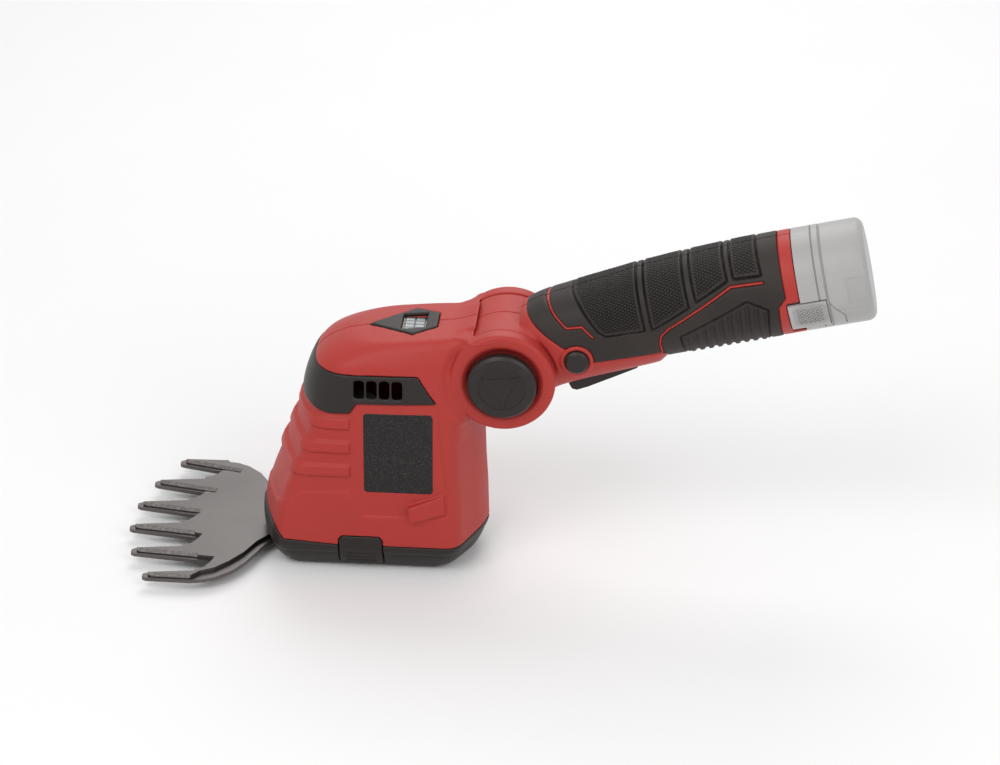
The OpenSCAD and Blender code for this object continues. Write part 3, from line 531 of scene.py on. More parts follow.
# %% Base cover and its latches
BASE_WALL = 2.2
BASE_FLOOR = 2.4
STRIP_Z = 11.2
STRIP_STEP = 0.6
MOUTH_LOW = (-100, -20.5, 4.4)
MOUTH_HIGH = (-38, 20.5, 8.6)
POST_TOP = 4.4
CUTTER_X = -40.0
CUTTER_POST_R = 9.0
CUTTER_HOLE_R = 4.02
COMB_SCREW_X = -33.0
COMB_SCREW_Y = 12.5
COMB_POST_R = 4.0
LATCH_GROOVES = (5.4, 7.6, 9.8)
LATCH_GROOVE_DEPTH = 0.55


def base_cover():
    p = block((-58, -37, -1), (57, 37, 25), STEP)
    x, y, z = p
    plain = level_form(p, BASE_LEVELS, STEP)
    solid = plain + STRIP_STEP * ramp(STRIP_Z - z, 0, 0.8)
    solid = meet(meet(solid, -z, 0.8), z - joint_height(x), 0.5)
    cover = cut(solid, meet(plain + BASE_WALL, BASE_FLOOR - z))
    from_cutter = np.hypot(x - CUTTER_X, y)
    posts = meet(from_cutter - CUTTER_POST_R, z - POST_TOP)
    for s in (-1, 1):
        from_screw = np.hypot(x - COMB_SCREW_X, y - COMB_SCREW_Y * s)
        posts = join(posts, meet(from_screw - COMB_POST_R, z - POST_TOP))
    cover = join(cover, meet(posts, 1.9 - z))
    cover = cut(cover, box_field(p, MOUTH_LOW, MOUTH_HIGH), 0.4)
    cover = cut(cover, meet(from_cutter - CUTTER_HOLE_R, 1 - z))
    latch = meet(side_outline(p, LATCH) - GAP, 20 - np.abs(y))
    cover = cut(cover, latch, 0.4)
    piece = mesh_of("base_moulding", cover, p, STEP)
    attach(piece, "cover")
    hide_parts("base_cover")
    return piece


def base_latch(side):
    step = 0.35
    p = block((-17, 24 if side > 0 else -37, 2), (9, 37 if side > 0 else -24, 23), step)
    x, y, z = p
    plain = level_form(p, BASE_LEVELS, step)
    grooves = sum(ramp(z, g, 0.5) * (1 - ramp(z, g + 1.0, 0.5)) for g in LATCH_GROOVES)
    grooves = LATCH_GROOVE_DEPTH * grooves * ramp(x, -11, 0.6) * (1 - ramp(x, 3, 0.6))
    latch = meet(plain + grooves, side_outline(p, LATCH), 1.0)
    latch = meet(latch, 25 - np.abs(y))
    piece = mesh_of("latch_left_moulding" if side < 0 else "latch_right_moulding", latch, p, step)
    name = "latch_left" if side < 0 else "latch_right"
    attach(piece, name)
    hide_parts("base_latch_left" if side < 0 else "base_latch_right")
    return piece


base_pieces = [base_cover(), base_latch(-1), base_latch(1)]
print("base pieces:", len(base_pieces))

# %% [markdown]
# ## Handle form
# The handle is carved in its own frame, with u along it, y across and w up, and is then turned up
# by its tilt about the pivot. Where the soft grip lies, the red shell is lower by the grip's depth.

# %% Handle form
def from_handle(points):
    """Points of the handle's own frame in the shared frame."""
    u, y, w = points.T
    x = PIVOT_X + u * math.cos(TILT) - w * math.sin(TILT)
    z = PIVOT_Z + u * math.sin(TILT) + w * math.cos(TILT)
    return np.stack([x, y, z], axis=1)


GRIP = [
    (14, 60), (15, 25), (22, 17), (29.5, 9.3), (38.9, -0.3), (50.7, -0.9), (71.0, -1.6), (73.2, -4.0),
    (74.5, -20), (126, -20), (126, -1.5), (127.2, 13.1), (131, 16.9), (130.2, 60),
]
FRONT_LINE = [(14, 33), (25.8, 27.6), (28.5, 23.5), (32.8, 18), (39.7, 17.8), (43.7, 12.1)]
REAR_LINE = [(72.3, -2), (72.3, 3.5), (73.5, 7.6), (77.4, 10.8), (108.2, 25.4), (122.3, 25)]
HANDLE_SCREWS = [(27, 17), (52, 25), (72, 26), (66, -4)]
SCREW_SEAT = 10.8
BOLT = (34.3, 2.3)
CELL_RING = 10.74
CELL_BAY_R = 10.0
TOWER_W = 13.8
HANDLE_STEEPEST = 4.0


def handle_form(p, step):
    u, y, w = p
    top, bottom, half, n = read_levels(HANDLE_LEVELS, u)
    side = section_field(y, w - (top + bottom) / 2, n, half, (top - bottom) / 2)
    return even(side, step, HANDLE_STEEPEST)


def grip_area(p):
    """Distance to the soft grip's outline seen from the side, with the red lines left out."""
    area = outline_field(p[0], p[2], GRIP)
    for line in (FRONT_LINE, REAR_LINE):
        area = np.maximum(area, 0.5 - line_field(p[0], p[2], line))
    return area


def cheek_room(p):
    """Room beside the knuckle for the head's cheeks."""
    return meet(np.hypot(p[0], p[2]) - BARREL_R - 0.6, KNUCKLE_HALF - np.abs(p[1]))


def cell_bay(p):
    """Room for the battery's tower, which holds three cells."""
    _, y, w = p
    centres = []
    for i in range(3):
        angle = math.radians(90 + 120 * i)
        centres.append((CELL_RING * math.cos(angle), TOWER_W + CELL_RING * math.sin(angle)))
    return outline_field(y, w, centres) - CELL_BAY_R


HANDLE_LOW = (-25.0, 0.0, -26.0)
HANDLE_HIGH = (139.0, 24.5, 39.5)
print("handle sections:", len(HANDLE_LEVELS))

# %% [markdown]
# ## Red handle shells
# Each half has its part of the knuckle, the raised ring around the lock-off bolt, the mouth for the
# trigger and the red collar at the battery. The knuckle runs into the neck with a soft fillet.

# %% Red handle shells
BOLT_HOLE_R = 5.47
RING_R = 7.4
RING_HALF = 20.9
HOLLOW_FROM = 23
HOLLOW_TO = 96
BAY_FROM = 90
TRIGGER_LOW = (23.6, -7.4, -40)
TRIGGER_HIGH = (63, 7.4, -6)
NOTCH_LOW = (130.7, -60, -3)
NOTCH_HIGH = (160, 60, 14)
NOTCH_R = 19


def handle_shell(side):
    p = half_block(HANDLE_LOW, HANDLE_HIGH, side, STEP)
    u, y, w = p
    out = np.abs(y)
    plain = handle_form(p, STEP)
    under = 1 - ramp(grip_area(p), 0, 0.5)
    solid = plain + (GRIP_T + 0.15) * under
    solid = meet(meet(solid, 12 - u), u - COLLAR_U, 0.6)
    knuckle = meet(np.hypot(u, w) - KNUCKLE_R, out - KNUCKLE_HALF, 0.8)
    from_bolt = np.hypot(u - BOLT[0], w - BOLT[1])
    ring = meet(from_bolt - RING_R, out - RING_HALF, 0.8)
    solid = cut(solid, cheek_room(p), 0.5)
    solid = join(solid, knuckle, 1.5)
    solid = join(solid, ring, 0.6)
    hollow = meet(meet(plain + GRIP_T + 2.4, HOLLOW_FROM - u), u - HOLLOW_TO)
    for su, sw in HANDLE_SCREWS:
        hollow = cut(hollow, np.hypot(u - su, w - sw) - SCREW_PILLAR_R, 0.6)
    hollow = join(hollow, meet(cell_bay(p), BAY_FROM - u))
    shell = cut(solid, hollow)
    shell = cut(shell, np.hypot(u, w) - TUBE_R - 0.05)
    shell = cut(shell, from_bolt - BOLT_HOLE_R, 0.5)
    shell = cut(shell, box_field(p, TRIGGER_LOW, TRIGGER_HIGH), 0.5)
    notch = meet(box_field(p, NOTCH_LOW, NOTCH_HIGH), NOTCH_R - np.hypot(y, w - BATTERY_W))
    shell = cut(shell, notch, 0.5)
    if side > 0:
        for su, sw in HANDLE_SCREWS:
            shell = cut(shell, meet(np.hypot(u - su, w - sw) - SCREW_HOLE_R, SCREW_SEAT - y), 0.5)
    shell = meet(shell, SEAM - side * y)
    name = "handle_moulding_left" if side < 0 else "handle_moulding_right"
    piece = mesh_of(name, shell, p, STEP, from_handle)
    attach(piece, "handle")
    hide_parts("handle_shell_left" if side < 0 else "handle_shell_right")
    return piece


handle_pieces = [handle_shell(-1), handle_shell(1)]
print("handle halves:", len(handle_pieces))

# %% [markdown]
# ## Soft grip
# The grip is a second shot of soft rubber over the red shell. Four pads wrap over the top, parted
# by grooves, and a ribbed pad sits below. Crossed grooves leave small diamonds on the pads. The mesh
# keeps each point's place along and around the handle, and how far it is inside a pad, so that the
# material can paint shade into the same grooves.

# %% Soft grip
PADS = [
    [
        (36.9, 60), (36.9, 29.9), (40, 26.3), (46.7, 14.1), (49.4, 11.8), (67.1, 11.6), (66.7, 33.4),
        (66.5, 60),
    ],
    [(70, 60), (70, 33.7), (70.3, 11.5), (88.4, 19.5), (87.5, 34.5), (87.2, 60)],
    [(90.8, 60), (90.8, 34.7), (91.9, 21.3), (107, 27.7), (106, 35.5), (105.6, 60)],
    [(109, 60), (109, 36), (109.8, 28), (122.1, 27.8), (121, 36.5), (120.6, 60)],
]
RIBBED_PAD = [(82, 6), (114, 18.4), (122.5, 13.1), (120.6, -1.5), (119.5, -20), (84.5, -20), (82.2, -3)]
RIB_PITCH = 4.0
KNURL_PITCH = 2.5
KNURL_SLANT = 1.5
PAD_GROOVE_DEPTH = 0.75
RIB_DEPTH = 0.9
RIBBED_EDGE_DEPTH = 0.5
KNURL_DEPTH = 0.35
PAD_RAISE = 0.3
DEEPEST = 0.6
GRIP_SCREW_HOLE_R = 4.2
GRIP_RING_R = 7.45


def pads_field(u, w):
    return np.minimum.reduce([outline_field(u, w, pad) for pad in PADS])


def crossed_lines(a, b, pitch):
    """Near 1 on two crossing sets of lines and less between them."""
    turn = 2 * math.pi / pitch
    return np.maximum(np.sin((a + b) * turn), np.sin((a - b) * turn))


def knurl_grooves(u, y, w):
    """1 in the crossed grooves of the pads and 0 on the diamonds between them."""
    around = np.arctan2(y, w - BATTERY_W) * BATTERY_R * KNURL_SLANT
    return np.clip((crossed_lines(u, around, KNURL_PITCH) - 0.2) / 0.75, 0, 1)


def soft_grip(side):
    step = 0.4
    p = half_block(HANDLE_LOW, HANDLE_HIGH, side, step)
    u, y, w = p
    plain = handle_form(p, step)
    pads = pads_field(u, w)
    groove = 1 - ramp(np.abs(pads), 0.4, 0.7)
    ribbed = outline_field(u, w, RIBBED_PAD)
    ribs = 0.5 + 0.5 * np.cos(2 * math.pi * (u - 0.09 * w) / RIB_PITCH)
    ribs = np.clip(ribs * 2.2 - 0.7, 0, 1) * ramp(-ribbed, 1.2, 1.0)
    edge = 1 - ramp(np.abs(ribbed), 0.4, 0.7)
    depth = PAD_GROOVE_DEPTH * groove + RIB_DEPTH * ribs + RIBBED_EDGE_DEPTH * edge
    depth = depth - PAD_RAISE * ramp(-pads, 0.8, 0.8)
    depth = depth + KNURL_DEPTH * knurl_grooves(u, y, w) * ramp(-pads, 1.2, 0.8)
    depth = np.minimum(depth - PAD_RAISE * ramp(-ribbed, 0.8, 0.8), DEEPEST)
    skin = meet(plain + depth - 0.2, -plain - GRIP_T, 0.2)
    skin = meet(skin, grip_area(p) + 0.08, 0.6)
    skin = meet(skin, 12.5 - u)
    skin = cut(skin, cheek_room(p), 0.5)
    skin = cut(skin, np.hypot(u - BOLT[0], w - BOLT[1]) - GRIP_RING_R, 0.5)
    if side > 0:
        for su, sw in HANDLE_SCREWS:
            skin = cut(skin, meet(np.hypot(u - su, w - sw) - GRIP_SCREW_HOLE_R, 9 - y), 0.5)
    skin = meet(skin, SEAM - side * y)
    name = "grip_moulding_left" if side < 0 else "grip_moulding_right"
    piece = mesh_of(name, skin, p, step, from_handle)
    mark_grip(piece)
    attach(piece, "handle")
    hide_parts("grip_left" if side < 0 else "grip_right")
    return piece


def mark_grip(piece):
    """Keeps the place along and around the handle, and the pads' depth, on every point."""
    count = len(piece.data.vertices)
    flat = np.zeros(count * 3, np.float32)
    piece.data.vertices.foreach_get("co", flat)
    x, y, z = (flat.reshape(-1, 3) / MM).T
    u = (x - PIVOT_X) * math.cos(TILT) + (z - PIVOT_Z) * math.sin(TILT)
    w = (z - PIVOT_Z) * math.cos(TILT) - (x - PIVOT_X) * math.sin(TILT)
    around = np.arctan2(y, w - BATTERY_W) * BATTERY_R
    pads = pads_field(u, w)
    inside = np.clip(-pads - 1.2, 0, 1)
    ribbed = outline_field(u, w, RIBBED_PAD)
    lines = 1 - ramp(np.minimum(np.abs(pads), np.abs(ribbed)), 0.25, 0.8)
    for name, value in (("along", u), ("around", around), ("inside_pad", inside), ("pad_line", lines)):
        layer = piece.data.attributes.new(name, "FLOAT", "POINT")
        layer.data.foreach_set("value", value.astype(np.float32))


grip_pieces = [soft_grip(-1), soft_grip(1)]
print("grip halves:", len(grip_pieces), "pads:", len(PADS))

# %% [markdown]
# ## Battery grooves
# The battery has two fine rings, a line that steps down behind each tab, and a shallow bare place
# for a plate on its left. They are cut into the battery by a hidden tool and a Boolean modifier,
# because the battery's inside is better left as it is.

# %% Battery grooves
FRONT_RING = 145.4
REAR_RING = 148.9
STEP_LINE = [(REAR_RING, 12.7), (150.8, 8.8), (155.0, 3.3), (154.9, -2.0)]
RING_DEPTH = 0.5
PLATE_DEPTH = 0.3
PLATE = (157.8, 166.6, 9.3, 21.5)


def cut_by(tool, names):
    """Cuts a hidden tool out of some solids, which keep their sharp edges."""
    tool.hide_render = True
    for name in names:
        weld = nodes[name].modifiers.new("weld", "WELD")
        weld.merge_threshold = 0.00001
        groove = nodes[name].modifiers.new("grooves", "BOOLEAN")
        groove.operation = "DIFFERENCE"
        groove.solver = "EXACT"
        groove.object = tool
        crease = nodes[name].modifiers.new("crease", "EDGE_SPLIT")
        crease.split_angle = math.radians(32)


def battery_grooves():
    step = 0.3
    p = block((143.5, -25, -10.6), (168.5, 25, 38.9), step)
    u, y, w = p
    away = np.hypot(y, w - BATTERY_W)
    rings = np.minimum(np.abs(u - FRONT_RING) - 0.3, np.abs(u - REAR_RING) - 0.4)
    lower = meet(line_field(u, w, STEP_LINE) - 0.35, 12 - np.abs(y))
    deep = meet(np.minimum(rings, lower), BATTERY_R - RING_DEPTH - away)
    plate = meet(meet(rounded_rectangle(u, w, *PLATE, 1.0), y + 12), BATTERY_R - PLATE_DEPTH - away)
    tool = meet(np.minimum(deep, plate), away - BATTERY_R - 0.9)
    piece = mesh_of("battery_groove_tool", tool, p, step, from_handle)
    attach(piece, "battery")
    cut_by(piece, ("battery_case", "battery_cap"))


battery_grooves()
print("battery grooves cut")

# %% [markdown]
# ## Finger relief of the buttons and tabs
# The hollow face of each round lock button has three shallow finger dishes with a three-pointed rise
# between them, and each battery tab has a fine knurl. They are cut like the battery's grooves.

# %% Finger relief of the buttons and tabs
BUTTON_FACE = 30.15
DISH_R = 10.6
HOLLOW_R = 60.0
HOLLOW_DEPTH = 0.9
DISH_DEPTH = 0.5
DISH_ARC = 38.9
DISH_AWAY = 43.1
DISH_ANGLES = (95, 215, 335)
TAB_R = BATTERY_R + 0.4
TAB_PITCH = 2.0
TAB_SLANT = 1.2
TAB_KNURL_DEPTH = 0.35
TAB_AREA = (134.6, 145.8, 2.2, 11.0)


def button_dishes(side):
    step = 0.3
    near, far = sorted((side * (BUTTON_FACE - 2.5), side * (BUTTON_FACE + 1.5)))
    p = block((PIVOT_X - 12, near, PIVOT_Z - 12), (PIVOT_X + 12, far, PIVOT_Z + 12), step)
    x, y, z = p
    dishes = []
    for angle in DISH_ANGLES:
        middle_x = PIVOT_X + DISH_AWAY * math.cos(math.radians(angle))
        middle_z = PIVOT_Z + DISH_AWAY * math.sin(math.radians(angle))
        dishes.append(np.hypot(x - middle_x, z - middle_z) - DISH_ARC)
    around = pivot_distance(x, z)
    floor_y = BUTTON_FACE - HOLLOW_DEPTH - DISH_DEPTH + around ** 2 / (2 * HOLLOW_R)
    tool = meet(meet(np.minimum.reduce(dishes), around - DISH_R, 0.4), floor_y - np.abs(y), 0.2)
    tool = meet(tool, np.abs(y) - BUTTON_FACE - 0.8)
    body = "button_left" if side < 0 else "button_right"
    piece = mesh_of(body + "_dish_tool", tool, p, step)
    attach(piece, body)
    cut_by(piece, ["pivot_" + body])


def tab_knurl(side):
    step = 0.25
    near, far = sorted((side * 19.0, side * 25.0))
    p = block((133, near, 1), (147, far, 12.5), step)
    u, y, w = p
    lines = (0.5 - crossed_lines(u, TAB_SLANT * w, TAB_PITCH)) * TAB_PITCH / (2 * math.pi)
    away = np.hypot(y, w - BATTERY_W)
    tool = meet(lines, rounded_rectangle(u, w, *TAB_AREA, 1.0))
    tool = meet(tool, meet(TAB_R - TAB_KNURL_DEPTH - away, away - TAB_R - 0.5))
    body = "tab_left" if side < 0 else "tab_right"
    piece = mesh_of(body + "_knurl_tool", tool, p, step, from_handle)
    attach(piece, body)
    cut_by(piece, ["battery_" + body])


for side in (-1, 1):
    button_dishes(side)
    tab_knurl(side)
print("dishes on each button:", len(DISH_ANGLES))

# %% [markdown]
# ## Housing screws
# The halves of the head and of the handle are screwed together from the right. One screw with its
# cross recess is carved, and its mesh is repeated at every boss, which keeps all of them alike.

# %% Housing screws
SCREW_HEAD_R = 2.9
SCREW_HEAD_HEIGHT = 2.4
SHANK_R = 1.5
CROSS_HALF = 0.42
CROSS_REACH = 1.7
CROSS_FLOOR = 1.1
HEAD_SCREW_END = -18.0
HANDLE_SCREW_END = -12.5


def screw_set(name, node, body, places, seat, end, to_frame=None):
    """Equal screws that run across the tool, from their seats on the right to their ends."""
    step = 0.25
    p = block((-3.4, end - seat - 0.6, -3.4), (3.4, 3.0, 3.4), step)
    x, y, z = p
    around = np.hypot(x, z)
    head = meet(meet(around - SCREW_HEAD_R, -y), y - SCREW_HEAD_HEIGHT, 0.8)
    shank = meet(meet(around - SHANK_R, y - 0.5), end - seat - y, 0.4)
    upright = np.maximum(np.abs(x) - CROSS_HALF, np.abs(z) - CROSS_REACH)
    level = np.maximum(np.abs(z) - CROSS_HALF, np.abs(x) - CROSS_REACH)
    recess = meet(np.minimum(upright, level), CROSS_FLOOR - y)
    screw = cut(join(head, shank, 0.3), recess, 0.2)
    copies = [(a, seat, b) for a, b in places]
    piece = mesh_of(name, screw, p, step, to_frame, copies)
    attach(piece, body)
    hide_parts(node)
    return piece


screw_pieces = [
    screw_set("head_housing_screws", "head_screws", "head", HEAD_SCREWS, HEAD_SCREW_SEAT, HEAD_SCREW_END),
    screw_set(
        "handle_housing_screws", "handle_screws", "handle", HANDLE_SCREWS, SCREW_SEAT, HANDLE_SCREW_END,
        from_handle,
    ),
]
print("screws:", len(HEAD_SCREWS) + len(HANDLE_SCREWS))

# %% [markdown]
# ## Materials
# Every finish is made of nodes. The plastics have a fine moulded grain, a slow drift of colour and
# roughness, and a paler colour along sharp outer edges. The steel is brushed across the blades, and its
# ground teeth are rougher. The grooves of the grip, the battery and its tabs are darkened with painted
# shade, which on the grip follows the places kept on its mesh.

# %% Materials
def new_material(name):
    material = bpy.data.materials.new(name)
    material.use_nodes = True
    tree = material.node_tree
    return material, tree, tree.nodes["Principled BSDF"]


def link(tree, a, b):
    tree.links.new(a, b)


def add_node(tree, kind, **inputs):
    node = tree.nodes.new(kind)
    for key, value in inputs.items():
        node.inputs[key.replace("_", " ")].default_value = value
    return node


def math_node(tree, operation, a, b):
    node = tree.nodes.new("ShaderNodeMath")
    node.operation = operation
    for socket, value in zip(node.inputs, (a, b)):
        if isinstance(value, (int, float)):
            socket.default_value = value
        else:
            link(tree, value, socket)
    return node.outputs[0]


def spread(tree, value, low, high, from_low=0.3, from_high=0.7):
    """A value stretched from one span to another."""
    ends = {"From_Min": from_low, "From_Max": from_high, "To_Min": low, "To_Max": high}
    node = add_node(tree, "ShaderNodeMapRange", **ends)
    link(tree, value, node.inputs["Value"])
    return node.outputs["Result"]


def noise(tree, scale, detail=2.0, stretch=(1, 1, 1)):
    place = tree.nodes.new("ShaderNodeTexCoord")
    mapping = add_node(tree, "ShaderNodeMapping", Scale=stretch)
    link(tree, place.outputs["Object"], mapping.inputs["Vector"])
    texture = add_node(tree, "ShaderNodeTexNoise", Scale=scale, Detail=detail)
    link(tree, mapping.outputs["Vector"], texture.inputs["Vector"])
    return texture.outputs["Fac"]


def tint(tree, colour, amount, factor):
    """A colour that drifts to a darker and a paler one with a factor from 0 to 1."""
    mix = tree.nodes.new("ShaderNodeMix")
    mix.data_type = "RGBA"
    mix.inputs["A"].default_value = tuple(c * (1 - amount) for c in colour) + (1,)
    mix.inputs["B"].default_value = tuple(min(c * (1 + amount) + 0.004, 1) for c in colour) + (1,)
    link(tree, factor, mix.inputs["Factor"])
    return mix.outputs["Result"]


def bump(tree, shader, height, strength, distance):
    node = add_node(tree, "ShaderNodeBump", Strength=strength, Distance=distance)
    link(tree, height, node.inputs["Height"])
    link(tree, node.outputs["Normal"], shader.inputs["Normal"])


def pulse(tree, value, middle, half):
    """1 near the middle value and 0 away from it."""
    away = math_node(tree, "ABSOLUTE", math_node(tree, "SUBTRACT", value, middle), 0)
    return spread(tree, away, 1, 0, half * 0.6, half * 1.4)


def along_axis(tree, axis, start):
    """How far a point lies along an axis of the row frame, in millimetres."""
    place = tree.nodes.new("ShaderNodeTexCoord")
    dot = tree.nodes.new("ShaderNodeVectorMath")
    dot.operation = "DOT_PRODUCT"
    dot.inputs[1].default_value = [v / MM for v in axis]
    link(tree, place.outputs["Object"], dot.inputs[0])
    return math_node(tree, "SUBTRACT", dot.outputs["Value"], start)


def handle_places(tree):
    """How far a point lies along the handle and above its axis, in millimetres."""
    c, k = math.cos(TILT), math.sin(TILT)
    u = along_axis(tree, (c, 0, k), PIVOT_X * c + PIVOT_Z * k)
    w = along_axis(tree, (-k, 0, c), PIVOT_Z * c - PIVOT_X * k)
    return u, w


def moulded_plastic(name, colour, rough, drift=0.07, relief=None):
    """A moulded plastic, with grooves where relief gives 1, whose colour is darkened there with painted
    shade.
    """
    material, tree, shader = new_material(name)
    slow = noise(tree, 22, 3)
    fine = noise(tree, 2600, 1)
    edge = tree.nodes.new("ShaderNodeNewGeometry")
    # The colour is paler along sharp outer edges.
    edge_paling = spread(tree, edge.outputs["Pointiness"], 0, 0.5, 0.52, 0.6)
    shade = math_node(tree, "ADD", spread(tree, slow, 0.25, 0.6), edge_paling)
    height = math_node(tree, "MULTIPLY", fine, 0.12)
    if relief is not None:
        deep = relief(tree)
        # Painted shade: the colour darkens in the relief's grooves.
        shade = math_node(tree, "SUBTRACT", shade, math_node(tree, "MULTIPLY", deep, 1.5))
        height = math_node(tree, "SUBTRACT", height, deep)
    link(tree, tint(tree, colour, drift, shade), shader.inputs["Base Color"])
    link(tree, spread(tree, slow, rough - 0.05, rough + 0.06), shader.inputs["Roughness"])
    shader.inputs["Specular IOR Level"].default_value = 0.28
    bump(tree, shader, height, 0.6, 0.0005)
    return material


def battery_relief(tree):
    """The ring grooves, which get painted shade in the colour."""
    u, _ = handle_places(tree)
    return math_node(tree, "MAXIMUM", pulse(tree, u, FRONT_RING, 0.35), pulse(tree, u, REAR_RING, 0.5))


def knurl(tree, a, b, pitch):
    """Crossed grooves: 1 in the grooves and 0 on the small diamonds between them."""
    turn = 2 * math.pi / pitch
    rising = math_node(tree, "MULTIPLY", math_node(tree, "ADD", a, b), turn)
    falling = math_node(tree, "MULTIPLY", math_node(tree, "SUBTRACT", a, b), turn)
    waves = [math_node(tree, "SINE", value, 0) for value in (rising, falling)]
    lines = math_node(tree, "MAXIMUM", *waves)
    return spread(tree, lines, 0, 1, 0.2, 0.95)


def tab_relief(tree):
    """The knurl of a battery tab and the border around it, which get painted shade in the colour."""
    u, w = handle_places(tree)
    low_u, high_u, low_w, high_w = TAB_AREA
    along = pulse(tree, u, (low_u + high_u) / 2, (high_u - low_u) / 2)
    upward = pulse(tree, w, (low_w + high_w) / 2, (high_w - low_w) / 2)
    inner = math_node(tree, "MULTIPLY", along, upward)
    border = pulse(tree, inner, 0.5, 0.35)
    across = math_node(tree, "MULTIPLY", w, TAB_SLANT)
    grooves = math_node(tree, "MULTIPLY", knurl(tree, u, across, TAB_PITCH), inner)
    return math_node(tree, "MAXIMUM", border, grooves)


def soft_rubber(name, colour):
    """A dull rubber with painted shade that darkens the grip's grooves."""
    material, tree, shader = new_material(name)
    slow = noise(tree, 30, 3)
    fine = noise(tree, 2200, 1)
    places = {}
    for key in ("along", "around", "inside_pad", "pad_line"):
        node = tree.nodes.new("ShaderNodeAttribute")
        node.attribute_name = key
        places[key] = node.outputs["Fac"]
    across_pad = math_node(tree, "MULTIPLY", places["around"], KNURL_SLANT)
    grooves = knurl(tree, places["along"], across_pad, KNURL_PITCH)
    grooves = math_node(tree, "MULTIPLY", grooves, places["inside_pad"])
    deep = math_node(tree, "MAXIMUM", grooves, places["pad_line"])
    height = math_node(tree, "SUBTRACT", math_node(tree, "MULTIPLY", fine, 0.12), deep)
    # Painted shade: the colour darkens in the knurl grooves and along the pad lines.
    shade = math_node(tree, "SUBTRACT", spread(tree, slow, 0.5, 1.0), math_node(tree, "MULTIPLY", deep, 1.2))
    link(tree, tint(tree, colour, 0.7, shade), shader.inputs["Base Color"])
    link(tree, spread(tree, slow, 0.5, 0.62), shader.inputs["Roughness"])
    shader.inputs["Specular IOR Level"].default_value = 0.26
    bump(tree, shader, height, 0.9, 0.0005)
    return material


def brushed_steel(name, colour, rough, stretch):
    """Brushed faces, and mottled ones where a 45 degree edge was ground."""
    material, tree, shader = new_material(name)
    hair = noise(tree, 420, 4, stretch)
    slow = noise(tree, 35, 3)
    mottle = noise(tree, 700, 4)
    geometry = tree.nodes.new("ShaderNodeNewGeometry")
    parts = tree.nodes.new("ShaderNodeSeparateXYZ")
    link(tree, geometry.outputs["True Normal"], parts.inputs["Vector"])
    ground = pulse(tree, parts.outputs["Z"], 0.7, 0.2)
    shader.inputs["Metallic"].default_value = 1.0
    shade = math_node(tree, "ADD", spread(tree, hair, 0.1, 0.7), spread(tree, slow, -0.15, 0.15))
    rough_edge = math_node(tree, "MULTIPLY", ground, spread(tree, mottle, -3.6, 2.4, 0.35, 0.65))
    shade = math_node(tree, "ADD", shade, rough_edge)
    link(tree, tint(tree, colour, 0.14, shade), shader.inputs["Base Color"])
    blunt = math_node(tree, "MULTIPLY", ground, 0.2)
    rougher = math_node(tree, "ADD", spread(tree, hair, rough - 0.06, rough + 0.08), blunt)
    link(tree, rougher, shader.inputs["Roughness"])
    height = math_node(tree, "ADD", hair, math_node(tree, "MULTIPLY", rough_edge, 0.6))
    bump(tree, shader, height, 0.2, 0.0001)
    return material


def speckled_label(name):
    """A dark sheet with fine pale specks."""
    material, tree, shader = new_material(name)
    specks = spread(tree, noise(tree, 2400, 2), 0, 1, 0.56, 0.66)
    slow = noise(tree, 40, 2)
    link(tree, tint(tree, (0.026, 0.022, 0.021), 0.75, specks), shader.inputs["Base Color"])
    link(tree, spread(tree, slow, 0.42, 0.5), shader.inputs["Roughness"])
    shader.inputs["Specular IOR Level"].default_value = 0.3
    bump(tree, shader, specks, 0.15, 0.0001)
    return material


def level_display(name):
    """A pale display with dark cells for the charge, without signs."""
    material, tree, shader = new_material(name)
    place = tree.nodes.new("ShaderNodeTexCoord")
    shift = add_node(tree, "ShaderNodeMapping", Location=(-14.4, 6.2, 0), Scale=(1 / MM, 1 / MM, 1 / MM))
    link(tree, place.outputs["Object"], shift.inputs["Vector"])
    cells = add_node(tree, "ShaderNodeTexBrick", Scale=1.0, Mortar_Size=0.45, Brick_Width=4.6, Row_Height=3.1)
    cells.offset = 0
    cells.inputs["Color1"].default_value = (0.36, 0.37, 0.38, 1)
    cells.inputs["Color2"].default_value = (0.30, 0.31, 0.32, 1)
    cells.inputs["Mortar"].default_value = (0.03, 0.03, 0.032, 1)
    link(tree, shift.outputs["Vector"], cells.inputs["Vector"])
    link(tree, cells.outputs["Color"], shader.inputs["Base Color"])
    link(tree, spread(tree, noise(tree, 60, 2), 0.18, 0.26), shader.inputs["Roughness"])
    return material


RED = (0.39, 0.031, 0.024)
BLACK = (0.016, 0.012, 0.0105)
PALE = (0.36, 0.355, 0.35)
RUBBER = (0.015, 0.011, 0.0095)
BLADE = (0.13, 0.12, 0.116)
TURNED = (0.3, 0.292, 0.285)
CAST = (0.5, 0.5, 0.51)
BRASS = (0.62, 0.43, 0.16)
SLEEVE = (0.05, 0.12, 0.3)
BOARD = (0.02, 0.12, 0.05)
red_plastic = moulded_plastic("red_moulded_plastic", RED, 0.46)
black_plastic = moulded_plastic("black_moulded_plastic", BLACK, 0.42, 0.2)
button_plastic = moulded_plastic("pivot_button_plastic", BLACK, 0.4, 0.25)
grey_plastic = moulded_plastic("pale_battery_plastic", PALE, 0.34, 0.06, battery_relief)
tab_plastic = moulded_plastic("battery_tab_plastic", PALE, 0.36, 0.12, tab_relief)
rubber = soft_rubber("soft_grip_rubber", RUBBER)
blade_steel = brushed_steel("brushed_blade_steel", BLADE, 0.34, (1, 14, 1))
plain_steel = brushed_steel("turned_steel", TURNED, 0.3, (1, 1, 20))
cast_metal = brushed_steel("cast_plate_metal", CAST, 0.5, (1, 1, 1))
brass = brushed_steel("brass", BRASS, 0.32, (1, 1, 12))
